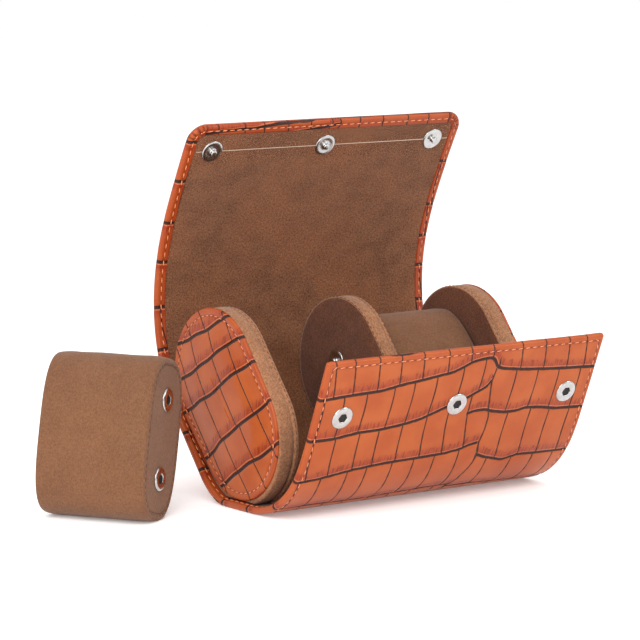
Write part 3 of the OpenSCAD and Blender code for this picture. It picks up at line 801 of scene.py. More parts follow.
def leather_sheet(piece, look, step=0.8):
    """The outer leather of one piece of the wrap, its rolled edges and its turned margins."""
    start, end, free = piece.start, piece.end, piece.free
    from_edge = lambda s: s if free == "low" else end - s
    edge = edge_columns(HALF_W, step)
    rows = np.sort(from_edge(edge_columns(end - start, step))) if free else even_rows(start, end, step)
    x, s = np.meshgrid(np.concatenate([edge - HALF_W, (HALF_W - edge)[-2::-1]]), rows)
    dx = HALF_W - abs(x)
    ds, gap, near = np.full(dx.shape, FAR), dx, np.zeros(dx.shape, bool)
    if free:
        dx, ds, gap, near = rounded(dx, from_edge(s), FLAP_CORNER_R if free == "low" else LID_CORNER_R)
        x, s = np.sign(x) * (HALF_W - dx), from_edge(ds)
    gap = np.maximum(gap, 0)
    if free:
        gap[0 if free == "low" else -1] = 0
    gap[:, 0] = gap[:, -1] = 0
    main, cross = scales(x, s, look)
    height = relief(main, cross, look) * np.clip(gap / 1.6, 0.25, 1)
    seam = 0.14 * bell(gap, SEAM_INSET, 0.7)
    outer_t = np.where(gap > 0, WRAP_T - roll(gap, WRAP_T / 2) + (height - seam), WRAP_T / 2)
    # On the margin the pattern runs on round the edge.
    beyond = np.where(dx < MARGIN_W + 1, HALF_W + WRAP_T + dx, abs(x))
    free_side = ds < dx
    x_in = np.where(free_side, x, np.sign(x) * beyond)
    s_in = np.where(free_side, -s - WRAP_T if free == "low" else 2 * end - s + WRAP_T, s)
    main_in, cross_in = scales(x_in, s_in, look)
    margin = 1 - smooth_step(MARGIN_W, MARGIN_W + 0.35, gap)
    fold = np.zeros(gap.shape)
    # At the lid's rounded corners the inner margin is pleated; the pleats' folds also get painted shade on
    # the inside.
    if free == "high":
        around = np.arctan2(LID_CORNER_R - ds, LID_CORNER_R - dx)
        fold = np.where(near, np.sin(around * 22 + 1.2 * np.sin(around * 5 + np.sign(x))), 0)
    pleats = 0.32 * fold * smooth_step(0.3, 1.5, gap)
    inner_t = roll(gap, WRAP_T / 2) + (1 - margin) * (LINING_T + 0.12)
    inner_t += margin * (pleats + seam - 0.5 * relief(main_in, cross_in, look))
    inner_t = np.where(gap > 0, inner_t, WRAP_T / 2)
    channel, inwards = bell(gap, SEAM_INSET, 0.42), smooth_step(1.0, 5.0, gap)
    attributes = {
        "main_gap": (main, main_in),
        "cross_gap": (cross, cross_in),
        "edge": ((1 - inwards) * 0.6, 1.2 + 1.3 * inwards),
        # Inside, the seam's dark colour also paints shade into the folds of the pleats.
        "stitch_line": (channel, np.maximum(channel * 0.5, smooth_step(0.1, 0.7, fold))),
    }
    finish = material("tooled_leather", embossed_leather, look)
    sides = on_wrap(x, s, outer_t), on_wrap(x, s, inner_t)
    made = sheet_object(f"{piece.name}_leather", *sides, finish, gap <= 0, attributes, ((x, x_in), (s, s_in)))
    fasten(made, piece, "leather")
    return made


def lining_sheet(piece, finish, step=1.3):
    """The suede lining of one piece of the wrap, inside the leather margins."""
    half = HALF_W - MARGIN_W
    low = piece.start + (MARGIN_W if piece.free == "low" else 0)
    high = piece.end - (MARGIN_W if piece.free == "high" else 0)
    x, s = np.meshgrid(even_rows(-half, half, step), even_rows(low, high, step))
    edge = half - abs(x)
    lay = noise_wave(x + 0.4 * s, 5, 83, 0.07) + noise_wave(s - 0.2 * x, 6, 57, 0.07)
    inner_t = 0.22 + lay * smooth_step(0, 12, edge) + 0.25 * np.exp(-edge / 0.8)
    sides = on_wrap(x, s, LINING_T), on_wrap(x, s, inner_t)
    made = sheet_object(f"{piece.name}_lining", *sides, finish, uv=((x, x), (s, s)))
    fasten(made, piece, "lining")


def film():
    """The clear strip inside the lid, and a pale line along the studs that is a painted highlight on the
    film's edge.
    """
    half, edge = HALF_W - MARGIN_W - FILM_INSET, WRAP_L - MARGIN_W
    studs = WRAP_L - STUD_EDGE
    for name, ends, rows, inner, outer, look, make, node, slot in (
        ("lid_film", (edge - FILM_W, edge - FILM_INSET), 9, 0.02, 0.14, "film_clear", clear_film,
         ["lid_film_strip"], "clear_film"),
        ("lid_film_edge", (studs - 0.16, studs + 0.16), 3, -0.08, 0.10, "film_line", film_line, [], None),
    ):
        x, s = np.meshgrid(np.linspace(-half, half, 75), np.linspace(*ends, rows))
        wave = 0.03 * np.sin(x / 7.0)
        sides = on_wrap(x, s, outer + wave), on_wrap(x, s, inner + wave)
        settle(sheet_object(name, *sides, material(look, make)), "lid_panel", *node, slot=slot)


def wrap_seam(piece, look):
    """The stitches of one piece of the wrap, outside and on the inner margins."""
    start, end = piece.start, piece.end
    inset = look.stitches.inset / MM
    count = max(1, round((end - start) / (look.stitches.pitch / MM)))
    pitch = (end - start) / count
    if piece.free:
        lines = [free_edge_line(piece, inset, pitch)]
    else:
        run = np.linspace(start + pitch / 2, end - pitch / 2, max(2, count * 3))
        lines = [[(x, s) for s in run] for x in (inset - HALF_W, HALF_W - inset)]
    seams = []
    for t, facing in ((WRAP_T - 0.1, 1), (0.08, -1)):
        for line in lines:
            x, s = np.array(line).T
            seams.append((on_wrap(x, s, t), outward(s) * facing, False))
    size = (pitch * 0.999, look.stitches.stitch / MM, look.stitches.thickness / MM)
    fasten(sew(f"{piece.name}_stitches", seams, orange_thread(look), size), piece)


def free_edge_line(piece, inset, pitch):
    """The seam round a free edge, as one line of (x, s)."""
    side = HALF_W - inset
    if piece.free == "low":
        corner, far, first, sign = 0.6, inset, piece.end - pitch / 2, -1
    else:
        corner, far, first, sign = LID_CORNER_R - inset, piece.end - inset, piece.start + pitch / 2, 1
    line = [(-side, s) for s in np.linspace(first, far - sign * corner, 30)[:-1]]
    turn = np.radians(np.linspace(180, 90, 9))
    line += [(-side + corner * (1 + math.cos(a)), far - sign * corner * (1 - math.sin(a))) for a in turn]
    corner_end = len(line)
    line += [(x, far) for x in np.linspace(corner - side, side - corner, 90)[1:-1]]
    return line + [(-x, s) for x, s in line[corner_end - 1::-1]]


# ---- what repeats ----


def line_mesh(name, points, edges, **vectors):
    """Points in millimetres with edges and vectors on them, as an object for a geometry tree."""
    mesh = bpy.data.meshes.new(name)
    mesh.from_pydata([tuple(np.asarray(p) * MM) for p in points], edges, [])
    for key, values in vectors.items():
        layer = mesh.attributes.new(key, "FLOAT_VECTOR", "POINT")
        layer.data.foreach_set("vector", np.asarray(values, np.float32).ravel())
    return new_object(name, mesh)


def repeating_tree(name, inputs, build):
    """A geometry tree with named inputs; build gives the instances and the material's input."""
    tree = bpy.data.node_groups.get(name)
    if tree:
        return tree
    tree = bpy.data.node_groups.new(name, "GeometryNodeTree")
    tree.interface.new_socket("Geometry", in_out="INPUT", socket_type="NodeSocketGeometry")
    for label, kind in inputs.items():
        tree.interface.new_socket(label, in_out="INPUT", socket_type="NodeSocket" + kind)
    tree.interface.new_socket("Geometry", in_out="OUTPUT", socket_type="NodeSocketGeometry")
    given = tree.nodes.new("NodeGroupInput").outputs
    instances, finish = build(lambda *args, **options: add_node(tree, *args, **options), given)
    real = add_node(tree, "GeometryNodeRealizeInstances", {0: instances})
    painted = add_node(tree, "GeometryNodeSetMaterial", {"Geometry": real, "Material": given[finish]})
    tree.links.new(painted, tree.nodes.new("NodeGroupOutput").inputs[0])
    return tree


def frame_from_lift(add, tangent=None):
    """Nodes that turn an instance's Z to the surface's normal and its X along the seam."""
    kind = "GeometryNodeInputNamedAttribute"
    read = lambda name: add(kind, {"Name": name}, "Attribute", data_type="FLOAT_VECTOR")
    axes = {"Primary Axis": read("lift"), "Secondary Axis": tangent or read("along")}
    return add("FunctionNodeAxesToRotation", axes, primary_axis="Z", secondary_axis="X")


def stitched_seam(add, given):
    """Stitches of thread along the edges of a mesh, at an even pitch, lying on its lift vectors."""
    curve = add("GeometryNodeMeshToCurve", {"Mesh": given["Geometry"]})
    even = add("GeometryNodeResampleCurve", {"Curve": curve, "Length": given["Pitch"]}, mode="LENGTH")
    points = add("GeometryNodeCurveToPoints", {"Curve": even}, "Points", mode="EVALUATED")
    lean = add("ShaderNodeCombineXYZ", {"Z": given["Slant"]})
    lying = frame_from_lift(add, points.node.outputs["Tangent"])
    turns = {0: lying, 1: add("FunctionNodeEulerToRotation", {0: lean})}
    bead = add("GeometryNodeMeshUVSphere", {"Segments": 8, "Rings": 6, "Radius": 0.5})
    thick = given["Thickness"]
    size = add("ShaderNodeCombineXYZ", {"X": given["Stitch"], "Y": thick, "Z": thick})
    slanted = add("FunctionNodeRotateRotation", turns, rotation_space="LOCAL")
    laid = {"Points": points, "Instance": bead, "Rotation": slanted, "Scale": size}
    return add("GeometryNodeInstanceOnPoints", laid), "Thread"


def snap_row(add, given):
    """One piece repeated on the points of a mesh, standing on their lift vectors."""
    piece = add("GeometryNodeObjectInfo", {"Object": given["Piece"]}, "Geometry")
    laid = {"Points": given["Geometry"], "Instance": piece, "Rotation": frame_from_lift(add)}
    return add("GeometryNodeInstanceOnPoints", laid), "Metal"


def run_tree(obj, tree, values):
    """Applies a geometry tree: the object's mesh becomes the tree's result, without the modifier."""
    modifier = obj.modifiers.new(tree.name, "NODES")
    modifier.node_group = tree
    sockets = {item.name: item.identifier for item in tree.interface.items_tree if item.in_out == "INPUT"}
    for label, value in values.items():
        modifier[sockets[label]] = value
    bpy.context.view_layer.update()
    result = bpy.data.meshes.new_from_object(obj.evaluated_get(bpy.context.evaluated_depsgraph_get()))
    obj.modifiers.clear()
    old, obj.data = obj.data, result
    result.name = obj.name
    bpy.data.meshes.remove(old)
    for extra in [a.name for a in result.attributes if a.name in ("lift", "along")]:
        result.attributes.remove(result.attributes[extra])
    for polygon in result.polygons:
        polygon.use_smooth = True
    return obj


def sew(name, seams, finish, size):
    """Seams along lines of points; a seam is (points, normals, closed), a size (pitch, length, thickness)."""
    points, lifts, edges = [], [], []
    for line, lift, closed in seams:
        first = len(points)
        points += list(line)
        lifts += list(np.broadcast_to(lift, np.shape(line)))
        edges += [(k, k + 1) for k in range(first, len(points) - 1)]
        if closed:
            edges.append((len(points) - 1, first))
    inputs = dict.fromkeys(("Pitch", "Stitch", "Thickness", "Slant"), "Float") | {"Thread": "Material"}
    values = zip(inputs, (*(k * MM for k in size), math.radians(STITCH_LEAN), finish))
    tree = repeating_tree("stitched_seam", inputs, stitched_seam)
    return run_tree(line_mesh(name, points, edges, lift=lifts), tree, dict(values))


def row_of(name, source, places):
    """Copies of a piece as one object; a place is (point, normal, sideways) in millimetres."""
    points, lifts, sides = zip(*places)
    tree = repeating_tree("snap_row", {"Piece": "Object", "Metal": "Material"}, snap_row)
    values = {"Piece": source, "Metal": source.data.materials[0]}
    return run_tree(line_mesh(name, points, [], lift=lifts, along=sides), tree, values)


# ---- caps and divider ----


def cap_line(step=1.0, lift=0.0, low_r=CAP_R):
    """The caps' outline: for each point its foot on the long axis, its direction and its radius."""
    count, straight = round(math.pi * CAP_R / step), round(CAP_STRAIGHT / step)
    low, across = LOW + np.array([0, lift]), math.radians(TILT - 90)
    points = []
    for centre, other, first, own, far in (
        (HIGH, low, across, CAP_R, low_r), (low, HIGH, across + math.pi, low_r, CAP_R),
    ):
        points += [(centre, first + math.pi * k / count, own) for k in range(count + 1)]
        points += [
            (centre + (other - centre) * k / straight, first + math.pi, own + (far - own) * k / straight)
            for k in range(1, straight)
        ]
    feet, angles, radius = (np.array(column) for column in zip(*points))
    ways = np.stack([np.cos(angles), np.sin(angles)], -1)
    down = ways[:, 1] < -1e-6
    room = (feet[:, 1] - FLOOR_Z) / np.where(down, -ways[:, 1], 1)
    return feet, ways, np.where(down, np.minimum(radius, room), radius)


def oval_points(profile, **shape):
    """Points (outline, profile, 3) of a form that follows the caps' outline.

    The profile is (distance in from the outline, X) from one place to the next.
    """
    feet, ways, radius = cap_line(**shape)
    inset, x = np.array(profile, float).T
    reach = np.maximum(radius[:, None] - inset[None, :], 0)
    yz = feet[:, None, :] + ways[:, None, :] * reach[..., None]
    return np.concatenate([np.broadcast_to(x[None, :, None], reach.shape + (1,)), yz], -1)


def rim_seam(x, inset):
    """A seam round the rim of a cap or of the divider."""
    line = oval_points([(inset, x)], step=0.8)[:, 0]
    ways = cap_line(step=0.8)[1]
    return line, np.concatenate([np.zeros((len(ways), 1)), ways], 1), True


def inner_face(edge, middle, back):
    """A gently domed suede face inside a rim, as a closed slab between three places along X."""
    insets = np.array([*FACE_INSETS, *np.arange(6, CAP_R, 2.2), CAP_R])
    drops = np.zeros(len(insets))
    drops[:len(FACE_DROPS)] = FACE_DROPS
    x = edge + (middle - edge) * smooth_step(1.9, 9, insets) - np.sign(middle - edge) * drops
    points = oval_points([*zip(insets, x), (CAP_R, back), (0.9, back)])
    wave = noise_wave(points[..., 1] * 0.9 + points[..., 2] * 0.5, 31, 47, 0.10)
    points[..., 0] += wave * smooth_step(3, 9, np.append(insets, [0, 0]))
    return points


def cap_face(side, mirror, look):
    """The leather face of an end cap, with its rolled edge."""
    rim = 1.0
    out = [(0.0, CAP_OUT - 1.55), (0.0, CAP_OUT - 1.25)]
    turn = np.radians([0, 18, 36, 54, 72, 90])
    out += [(rim - rim * math.cos(a), CAP_OUT - rim + rim * math.sin(a)) for a in turn]
    flat = [1.4, 1.9, 2.4, 2.8, 3.2, 3.5, 3.8, 4.1, 4.5, 5.0, 5.6, *np.arange(6.3, CAP_R, 0.75), CAP_R]
    face = oval_points(out + [(inset, CAP_OUT) for inset in flat], **CAP_FACE)
    whole = np.ones(face.shape[:2])
    inset = np.array([p[0] for p in out] + flat) * whole
    main, cross = cap_scales(face)
    height = relief(main, cross, look)
    crease = 0.34 * bell(inset, CAP_SEAM, 0.7) - 1.3 * smooth_step(5, 20, inset)
    share = smooth_step(0.9, 1.5, inset)
    face[..., 0] += np.where(share > 0, share * (height - crease - 0.1), np.minimum(height, 0) * 0.4)
    under = CAP_OUT - LEATHER_T
    back = oval_points([(CAP_R, under), (SUEDE_T + 0.6, under), (SUEDE_T, CAP_OUT - 1.6)], **CAP_FACE)
    points = np.concatenate([face, back], 1)
    wide = lambda values, rest: np.concatenate([values, np.full(back.shape[:2], rest)], 1)
    attributes = {
        "main_gap": wide(main, 9),
        "cross_gap": wide(cross, 9),
        "edge": wide(1 - smooth_step(1.0, 5.0, inset), 1),
        "stitch_line": wide(bell(inset, CAP_SEAM, 0.34), 0),
    }
    finish = material("tooled_leather", embossed_leather, look)
    return grid_object(f"{side}_cap_leather", points * mirror, finish, attributes=attributes,
                       uv=points[..., 1:] / 100 + mirror[0] * 3)


# The rim of a cap from the leather to the inner face, as (inset, distance from the inner face).
CAP_RIM = (
    (4.4, 10.88), (0.95, 10.9), (0.45, 10.65), (0.2, 10.1), (0.1, 6.0), (0.12, 4.2), (0.55, 3.55), (0.8, 3.3),
    (0.55, 3.05), (0.1, 2.4), (0.12, 1.6), (0.1, 1.2), (0.25, 0.75), (0.6, 0.6), (1.2, 0.9), (2.0, 1.6),
    (2.6, 5.0),
)
# Half of the divider's rim, as (inset, X); the last four are in from its face.
DIVIDER_RIM = ((0.08, 0.0), (0.1, 1.9), (0.5, 2.4), (0.8, 2.6), (0.5, 2.8), (0.1, 3.3), (0.1, 3.8))
DIVIDER_LIP = ((0.25, 0.75), (0.6, 0.6), (1.2, 0.9), (2.0, 1.6))


def rim_and_face(look):
    # The inner faces are the lining's suede made darker, partly for the nap and partly as painted shade.
    return (material("suede_rim", suede, look.suede.rim), material("suede_face", suede, look.suede.face),
            material("thread_brown", thread, BROWN_THREAD))


def end_cap(side, look):
    """The leather face, the suede gusset, the dark inner face, darker partly by painted shade, and the seams
    of one end cap.
    """
    mirror = np.array([-1 if side == "left" else 1, 1, 1])
    rim, dark, brown = rim_and_face(look)
    settle(cap_face(side, mirror, look.leather), "base", f"{side}_cap_leather", slot="embossed_leather")
    gusset = oval_points([(inset, CAP_IN + x) for inset, x in CAP_RIM]) * mirror
    settle(grid_object(f"{side}_cap_gusset", gusset, rim), "base", f"{side}_cap_gusset", slot="pale_suede")
    lining = inner_face(CAP_IN + 0.35, CAP_IN + 0.12, CAP_IN + 2.6) * mirror
    settle(grid_object(f"{side}_cap_lining", lining, dark), "base", f"{side}_cap_lining", slot="suede_lining")
    line = oval_points([(CAP_SEAM, CAP_OUT - 0.3)], **CAP_FACE)[:, 0] * mirror
    seam = [(line, mirror * (1, 0, 0), True)]
    settle(sew(f"{side}_cap_stitches", seam, orange_thread(look), CAP_STITCH), "base")
    line, normals, closed = rim_seam(CAP_IN + RIM_SEAM, 0.1)
    settle(sew(f"{side}_cap_rim_stitches", [(line * mirror, normals, closed)], brown, RIM_STITCH), "base")


def divider(look):
    """The divider: a pale rim with a seam near each side, and two dark faces, darker partly by painted shade.
    """
    half = DIVIDER_T / 2
    rim, dark, brown = rim_and_face(look)
    outer = [*DIVIDER_RIM, *((inset, half - x) for inset, x in DIVIDER_LIP)]
    profile = outer + [(inset, -x) for inset, x in outer[:0:-1]]
    gusset = grid_object("divider_gusset", oval_points(profile), rim)
    settle(gusset, "base", "divider_gusset", slot="pale_suede")
    for side, sign in (("left", -1), ("right", 1)):
        face = inner_face(half - 0.35, half - 0.12, half - 2.6) * (sign, 1, 1)
        node = f"divider_{side}_face"
        settle(grid_object(node, face, dark), "base", node, slot="suede_lining")
    seams = [rim_seam(x, 0.12) for x in DIVIDER_SEAMS]
    settle(sew("divider_stitches", seams, brown, RIM_STITCH), "base")


# ---- cushions ----


def turned(a, b, degrees):
    c, s = math.cos(math.radians(degrees)), math.sin(math.radians(degrees))
    return a * c - b * s, a * s + b * c


def cushion_points(f, angle, inset, taper=0.35):
    """A point of a cushion's skin at a share of its length and an angle, in its own directions.

    A sleeve is a little fuller at its ends than the form inside it, whose taper is 1.
    """
    f, angle, inset = np.broadcast_arrays(f, angle, inset)
    swell = 1 - taper * CUSHION_CROWN * ((2 * f - 1) ** 2 + (2 * f - 1) ** 8)
    round_off = lambda c: np.sign(c) * abs(c) ** (2 / CUSHION_SQUARE)
    return np.stack([
        f * CUSHION_L,
        (CUSHION_D / 2 * swell - inset) * round_off(np.sin(angle)),
        (CUSHION_H / 2 * swell - inset) * round_off(np.cos(angle)),
    ], -1)


def seated(p, _=None):
    """Places cushion points in the case's right-hand slot."""
    y, z = turned(p[..., 1], p[..., 2], TILT - 90)
    return np.stack([CUSHION_X + p[..., 0], MIDDLE[0] + y, MIDDLE[1] + z], -1)


def leaned(p):
    return np.stack([p[..., 0] - CUSHION_L / 2, *turned(p[..., 1], p[..., 2], -LOOSE_LEAN)], -1)


def standing(p, floor=0.0):
    """Stands cushion points on the table beside the case, pressed flat where they reach it."""
    skin = cushion_points(np.linspace(0, 1, 9)[:, None], np.linspace(0, 2 * np.pi, 41), 0, 1)
    q = leaned(p)
    x, y = turned(q[..., 0], q[..., 1], LOOSE_TURN)
    z = q[..., 2] - leaned(skin)[..., 2].min() - LOOSE_PRESS
    return np.stack([LOOSE_AT[0] + x, LOOSE_AT[1] + y, np.maximum(z, floor)], -1)


def even_angles(count):
    """Angles whose points lie evenly round the cushion."""
    fine = np.linspace(0, 2 * np.pi, 4001)
    p = cushion_points(0.5, fine, 0)
    run = np.concatenate([[0], np.cumsum(np.linalg.norm(np.diff(p, axis=0), axis=-1))])
    return np.interp(np.linspace(0, run[-1], count + 1)[:-1], run, fine)


# A sleeve's profile from its end seam to its side, as (distance from the end, inset).
SLEEVE_END = ((0.75, 3.1), (0.3, 2.95), (0.05, 2.55), (0.0, 2.0), (0.06, 1.3), (0.25, 0.75), (0.6, 0.3),
              (1.1, 0.06), (1.9, 0.0), (3.4, 0.0))
# An end piece's profile from its middle to its edge, as (inset, how far it stands out).
END_FACE = ((19.5, 0.1), (17.8, 0.1), (16, 0.1), (13.5, 0.1), (11, 0.1), (8.5, 0.1), (6.5, 0.1), (5, 0.14),
            (3.9, 0.2), (3.3, 0.3), (2.95, 0.55), (2.75, 0.9))
END_BACK = ((2.75, 2.4), (10.0, 2.4), (19.5, 2.4))


def sleeve_grid(angles):
    """The sleeve's skin with a ridge at each end seam, and the rings that close it inside."""
    ends = [(CUSHION_L - d, inset) for d, inset in SLEEVE_END[::-1]]
    middle = [(d, 0.0) for d in np.linspace(5.2, CUSHION_L - 5.2, 30)]
    along, inset = np.array([*SLEEVE_END, *middle, *ends]).T
    skin = cushion_points(along[:, None] / CUSHION_L, angles, inset[:, None])
    ease = smooth_step(4, 12, np.minimum(along, CUSHION_L - along))[:, None]
    x, y, z = np.moveaxis(skin, -1, 0)
    lay = 0.35 * noise_wave(x + 0.6 * z, 71, 49, 1.0) + 0.25 * noise_wave(z - 0.5 * x + 0.8 * y, 72, 33, 1.0)
    radial = skin * (0, 1, 1)
    radial = radial / np.linalg.norm(radial, axis=-1, keepdims=True)
    skin = skin - radial * (np.maximum(lay + 0.35, 0) * ease)[..., None]
    rings = np.array([[CUSHION_L - 1.6], [1.6]]) / CUSHION_L
    return np.concatenate([skin, cushion_points(rings, angles, 3.6)])


def end_ring(outline, inset):
    """The outline of a cushion's end, set in evenly towards the line along its middle."""
    half = abs(outline[:, 1]).max()
    reach = max(1 - inset / half, 0.0)
    rigid = abs(outline[:, 2]).max() - half
    spine = np.clip(outline[:, 2], -rigid, rigid)
    return np.stack([outline[:, 0], outline[:, 1] * reach, spine + (outline[:, 2] - spine) * reach], -1)


def cushion(name, place, look):
    """One cushion, which rides on the body of its name: sleeve, end pieces, seams and sockets."""
    angles = even_angles(168)
    nap = material("suede_cushion", suede, look.suede.cushion, "Object", 0.42, 0.22)
    sleeve = grid_object(f"{name}_sleeve", place(sleeve_grid(angles)), nap)
    settle(sleeve, name, f"{name}_sleeve", f"{name}_core", slot="pale_suede")
    origin, *tips = place(np.vstack([np.zeros(3), np.eye(3)]), NO_FLOOR)
    axes = np.array(tips) - origin
    seams = []
    for side, at, sign in (("left", 0.0, -1), ("right", CUSHION_L, 1)):
        outline = cushion_points(at / CUSHION_L, angles, 0.0)
        rings = [end_ring(outline, inset) - (sign * depth, 0, 0) for inset, depth in END_FACE + END_BACK]
        plate = grid_object(f"{name}_end_{side}", place(np.array(rings)), nap, close_rows=False)
        settle(plate, name, *([f"{name}_ends"] if side == "left" else []), slot="pale_suede")
        line = cushion_points(at / CUSHION_L, angles, CUSHION_SEAM) + (sign * 0.02, 0, 0)
        seams.append((place(line), sign * axes[0], True))
    brown = material("thread_brown", thread, BROWN_THREAD)
    settle(sew(f"{name}_stitches", seams, brown, CUSHION_STITCH), name)
    spots = [np.array([CUSHION_L, 0, k * CUSHION_SNAP_PITCH / 2]) for k in (-1, 1)]
    places = [(place(p, NO_FLOOR), axes[0], axes[2]) for p in spots]
    ring, hole = (snap_source(kind, look) for kind in ("socket", "hole"))
    settle(row_of(f"{name}_sockets", ring, places), name, f"{name}_sockets", slot="nickel")
    settle(row_of(f"{name}_socket_holes", hole, places), name)


# ---- snaps ----

# Profiles as (radius, height), with the share of a hexagon where a ring isn't round.
SNAP_PROFILES = {
    "socket": ((2.3, -0.2, 1), (2.3, 0.5, 1), (2.45, 0.78, 0.85), (2.9, 0.94, 0.3), (3.6, 1.0), (4.3, 0.97),
               (5.0, 0.8), (5.45, 0.48), (5.6, 0.12), (5.5, -0.1), (3.4, -0.25), (3.1, -0.2)),
    "hole": ((0.0, 0.26), (0.9, 0.24), (1.6, 0.26, 0.6), (2.1, 0.36, 1), (2.3, 0.6, 1), (2.4, 0.62, 1),
             (2.45, -0.2, 1), (0.0, -0.2)),
    "stud": ((0.0, -0.3), (SNAP_R * 0.95, -0.3), (SNAP_R, 0.05), (SNAP_R * 0.97, 0.3), (SNAP_R - 0.6, 0.5),
             (4.1, 0.52), (3.2, 0.4), (2.2, 0.34), (1.75, 0.42), (1.35, 0.6), (1.3, 1.1), (1.42, 1.45),
             (1.6, 1.75), (1.55, 2.0), (1.2, 2.24), (0.6, 2.3), (0.0, 2.3)),
    "rivet": ((0.0, -0.2), (SNAP_R, -0.2), (SNAP_R, 0.18), (SNAP_R * 0.93, 0.38), (SNAP_R * 0.72, 0.58),
              (2.2, 0.68), (0.0, 0.7)),
}
SNAP_SIDES = {"socket": 48, "hole": 24, "stud": 48, "rivet": 40}
SOURCE = "source_"


def lathe(name, profile, finish, sides):
    """A turned form."""
    turn = 2 * np.pi * np.arange(sides) / sides
    flat = math.cos(math.pi / 6) / np.cos((turn % (math.pi / 3)) - math.pi / 6)
    rings = []
    for radius, height, *hexagon in profile:
        r = radius * (1 + sum(hexagon) * (flat - 1))
        rings.append(np.stack([r * np.cos(turn), r * np.sin(turn), np.full(sides, float(height))], -1))
    return grid_object(name, np.array(rings), finish, close_rows=False)


def snap_source(kind, look):
    """A piece that the rows of snaps copy, made once and removed when all are in place."""
    # A socket's hole is a dark disc of painted shade.
    finish = material("socket_dark", dark_hole) if kind == "hole" else nickel(look)
    name = SOURCE + kind
    return bpy.data.objects.get(name) or lathe(name, SNAP_PROFILES[kind], finish, SNAP_SIDES[kind])


def wrap_places(s, t, facing):
    """Where a row of three snaps sits on the wrap; facing is 1 for the outside."""
    side = HALF_W - SNAP_SIDE
    return [(on_wrap(x, s, t), outward(np.array([s]))[0] * facing, (1, 0, 0)) for x in (-side, 0, side)]


def snaps(look):
    """The rows of snaps on the wrap, the right end cap and the divider."""
    front, studs = wrap_places(SOCKET_EDGE, WRAP_T, 1), WRAP_L - STUD_EDGE
    settle(row_of("flap_socket_holes", snap_source("hole", look), front), "flap_panel")
    rows = [
        ("flap_sockets", "socket", front, "flap_panel"),
        ("lid_studs", "stud", wrap_places(studs, 0.0, -1), "lid_panel"),
        ("lid_snap_caps", "rivet", wrap_places(studs, WRAP_T, 1), "lid_panel"),
    ]
    for node, x in (("right_cap_studs", CAP_IN), ("divider_studs", -DIVIDER_T / 2)):
        spots = [MIDDLE + k * CUSHION_SNAP_PITCH / 2 * AXIS for k in (-1, 1)]
        rows.append((node, "stud", [((x, *p), (-1, 0, 0), (0, *AXIS)) for p in spots], "base"))
    for node, kind, places, body in rows:
        settle(row_of(f"{node}_metal", snap_source(kind, look), places), body, node, slot="nickel")
    for obj in [o for o in bpy.data.objects if o.name.startswith(SOURCE)]:
        bpy.data.objects.remove(obj)


# ---- stage ----

KEY_PLACE, FILL_PLACE, TOP_PLACE = (0.75, -0.95, 0.80), (-0.7, -0.5, 0.6), (0.1, 0.0, 1.1)
LIT_SIDE = (0.70, 0.62, 0.36)      # the way to the brighter side of the surroundings
VIEW_YAW, VIEW_PITCH = 36, 7.74    # degrees
VIEW_SHIFT = (-33.3, 82.5, -1501)  # the camera from its target: right, up and forward, in mm
VIEW_TARGET = (0, -0.0148, 0)


def floor_and_lights(look):
    scene = bpy.context.scene
    scene.view_settings.view_transform = "Standard"
    mesh = bpy.data.meshes.new("floor")
    mesh.from_pydata([(-4, -4, 0), (4, -4, 0), (4, 4, 0), (-4, 4, 0)], [], [(0, 1, 2, 3)])
    sh = Shader("floor_white")
    tone = sh.mix(sh.noise(0.002, 1.0), (0.95, 0.95, 0.95), (0.97, 0.97, 0.97))
    mesh.materials.append(sh.finish(tone, 0.8, Specular_IOR_Level=0.1, Emission_Color=(1, 1, 1, 1),
                                    Emission_Strength=0.22))
    new_object("floor", mesh)
    scene.world = world = bpy.data.worlds.new("studio")
    world.use_nodes = True
    tree = world.node_tree
    way = add_node(tree, "ShaderNodeTexCoord", {}, "Generated")
    toward = {0: way, 1: Vector(LIT_SIDE).normalized()}
    toward = add_node(tree, "ShaderNodeVectorMath", toward, "Value", operation="DOT_PRODUCT")
    ends = {"From Min": -0.75, "From Max": 0.45, "To Min": look.shadow, "To Max": look.ambient}
    level = add_node(tree, "ShaderNodeMapRange", {"Value": toward, **ends}, interpolation_type="SMOOTHSTEP")
    background = tree.nodes["Background"].inputs
    tree.links.new(level, background["Strength"])
    background["Color"].default_value = (1, 1, 1, 1)
    for name, place, target, size, power in (
        ("key", KEY_PLACE, (0, 0, 0.05), 0.55, look.key),
        ("fill", FILL_PLACE, (0, 0, 0.05), 0.7, look.key * 1.8),
        ("top", TOP_PLACE, (0, 0, 0), 0.8, look.key * 0.25),
    ):
        data = bpy.data.lights.new(name, "AREA")
        data.shape, data.size, data.energy = "SQUARE", size, power
        lamp = new_object(name, data)
        lamp.location = place
        lamp.rotation_euler = (Vector(target) - Vector(place)).to_track_quat("-Z", "Y").to_euler()


def camera(look):
    """The photograph's view: a long lens from the front left, a little above the table."""
    yaw, pitch = math.radians(VIEW_YAW), math.radians(VIEW_PITCH)
    right = Vector((math.cos(yaw), -math.sin(yaw), 0))
    forward = Vector((math.sin(yaw) * math.cos(pitch), math.cos(yaw) * math.cos(pitch), -math.sin(pitch)))
    up = right.cross(forward)
    place = (VIEW_SHIFT[0] * right + VIEW_SHIFT[1] * up + VIEW_SHIFT[2] * forward) * MM + Vector(VIEW_TARGET)
    data = bpy.data.cameras.new("camera")
    data.sensor_width, data.lens = 36, look.focal
    data.clip_start, data.clip_end = 0.05, 20
    cam = new_object("camera", data)
    cam.matrix_world = Matrix.Translation(place) @ Matrix((right, up, -forward)).transposed().to_4x4()
    bpy.context.scene.camera = cam


# ---- operators ----


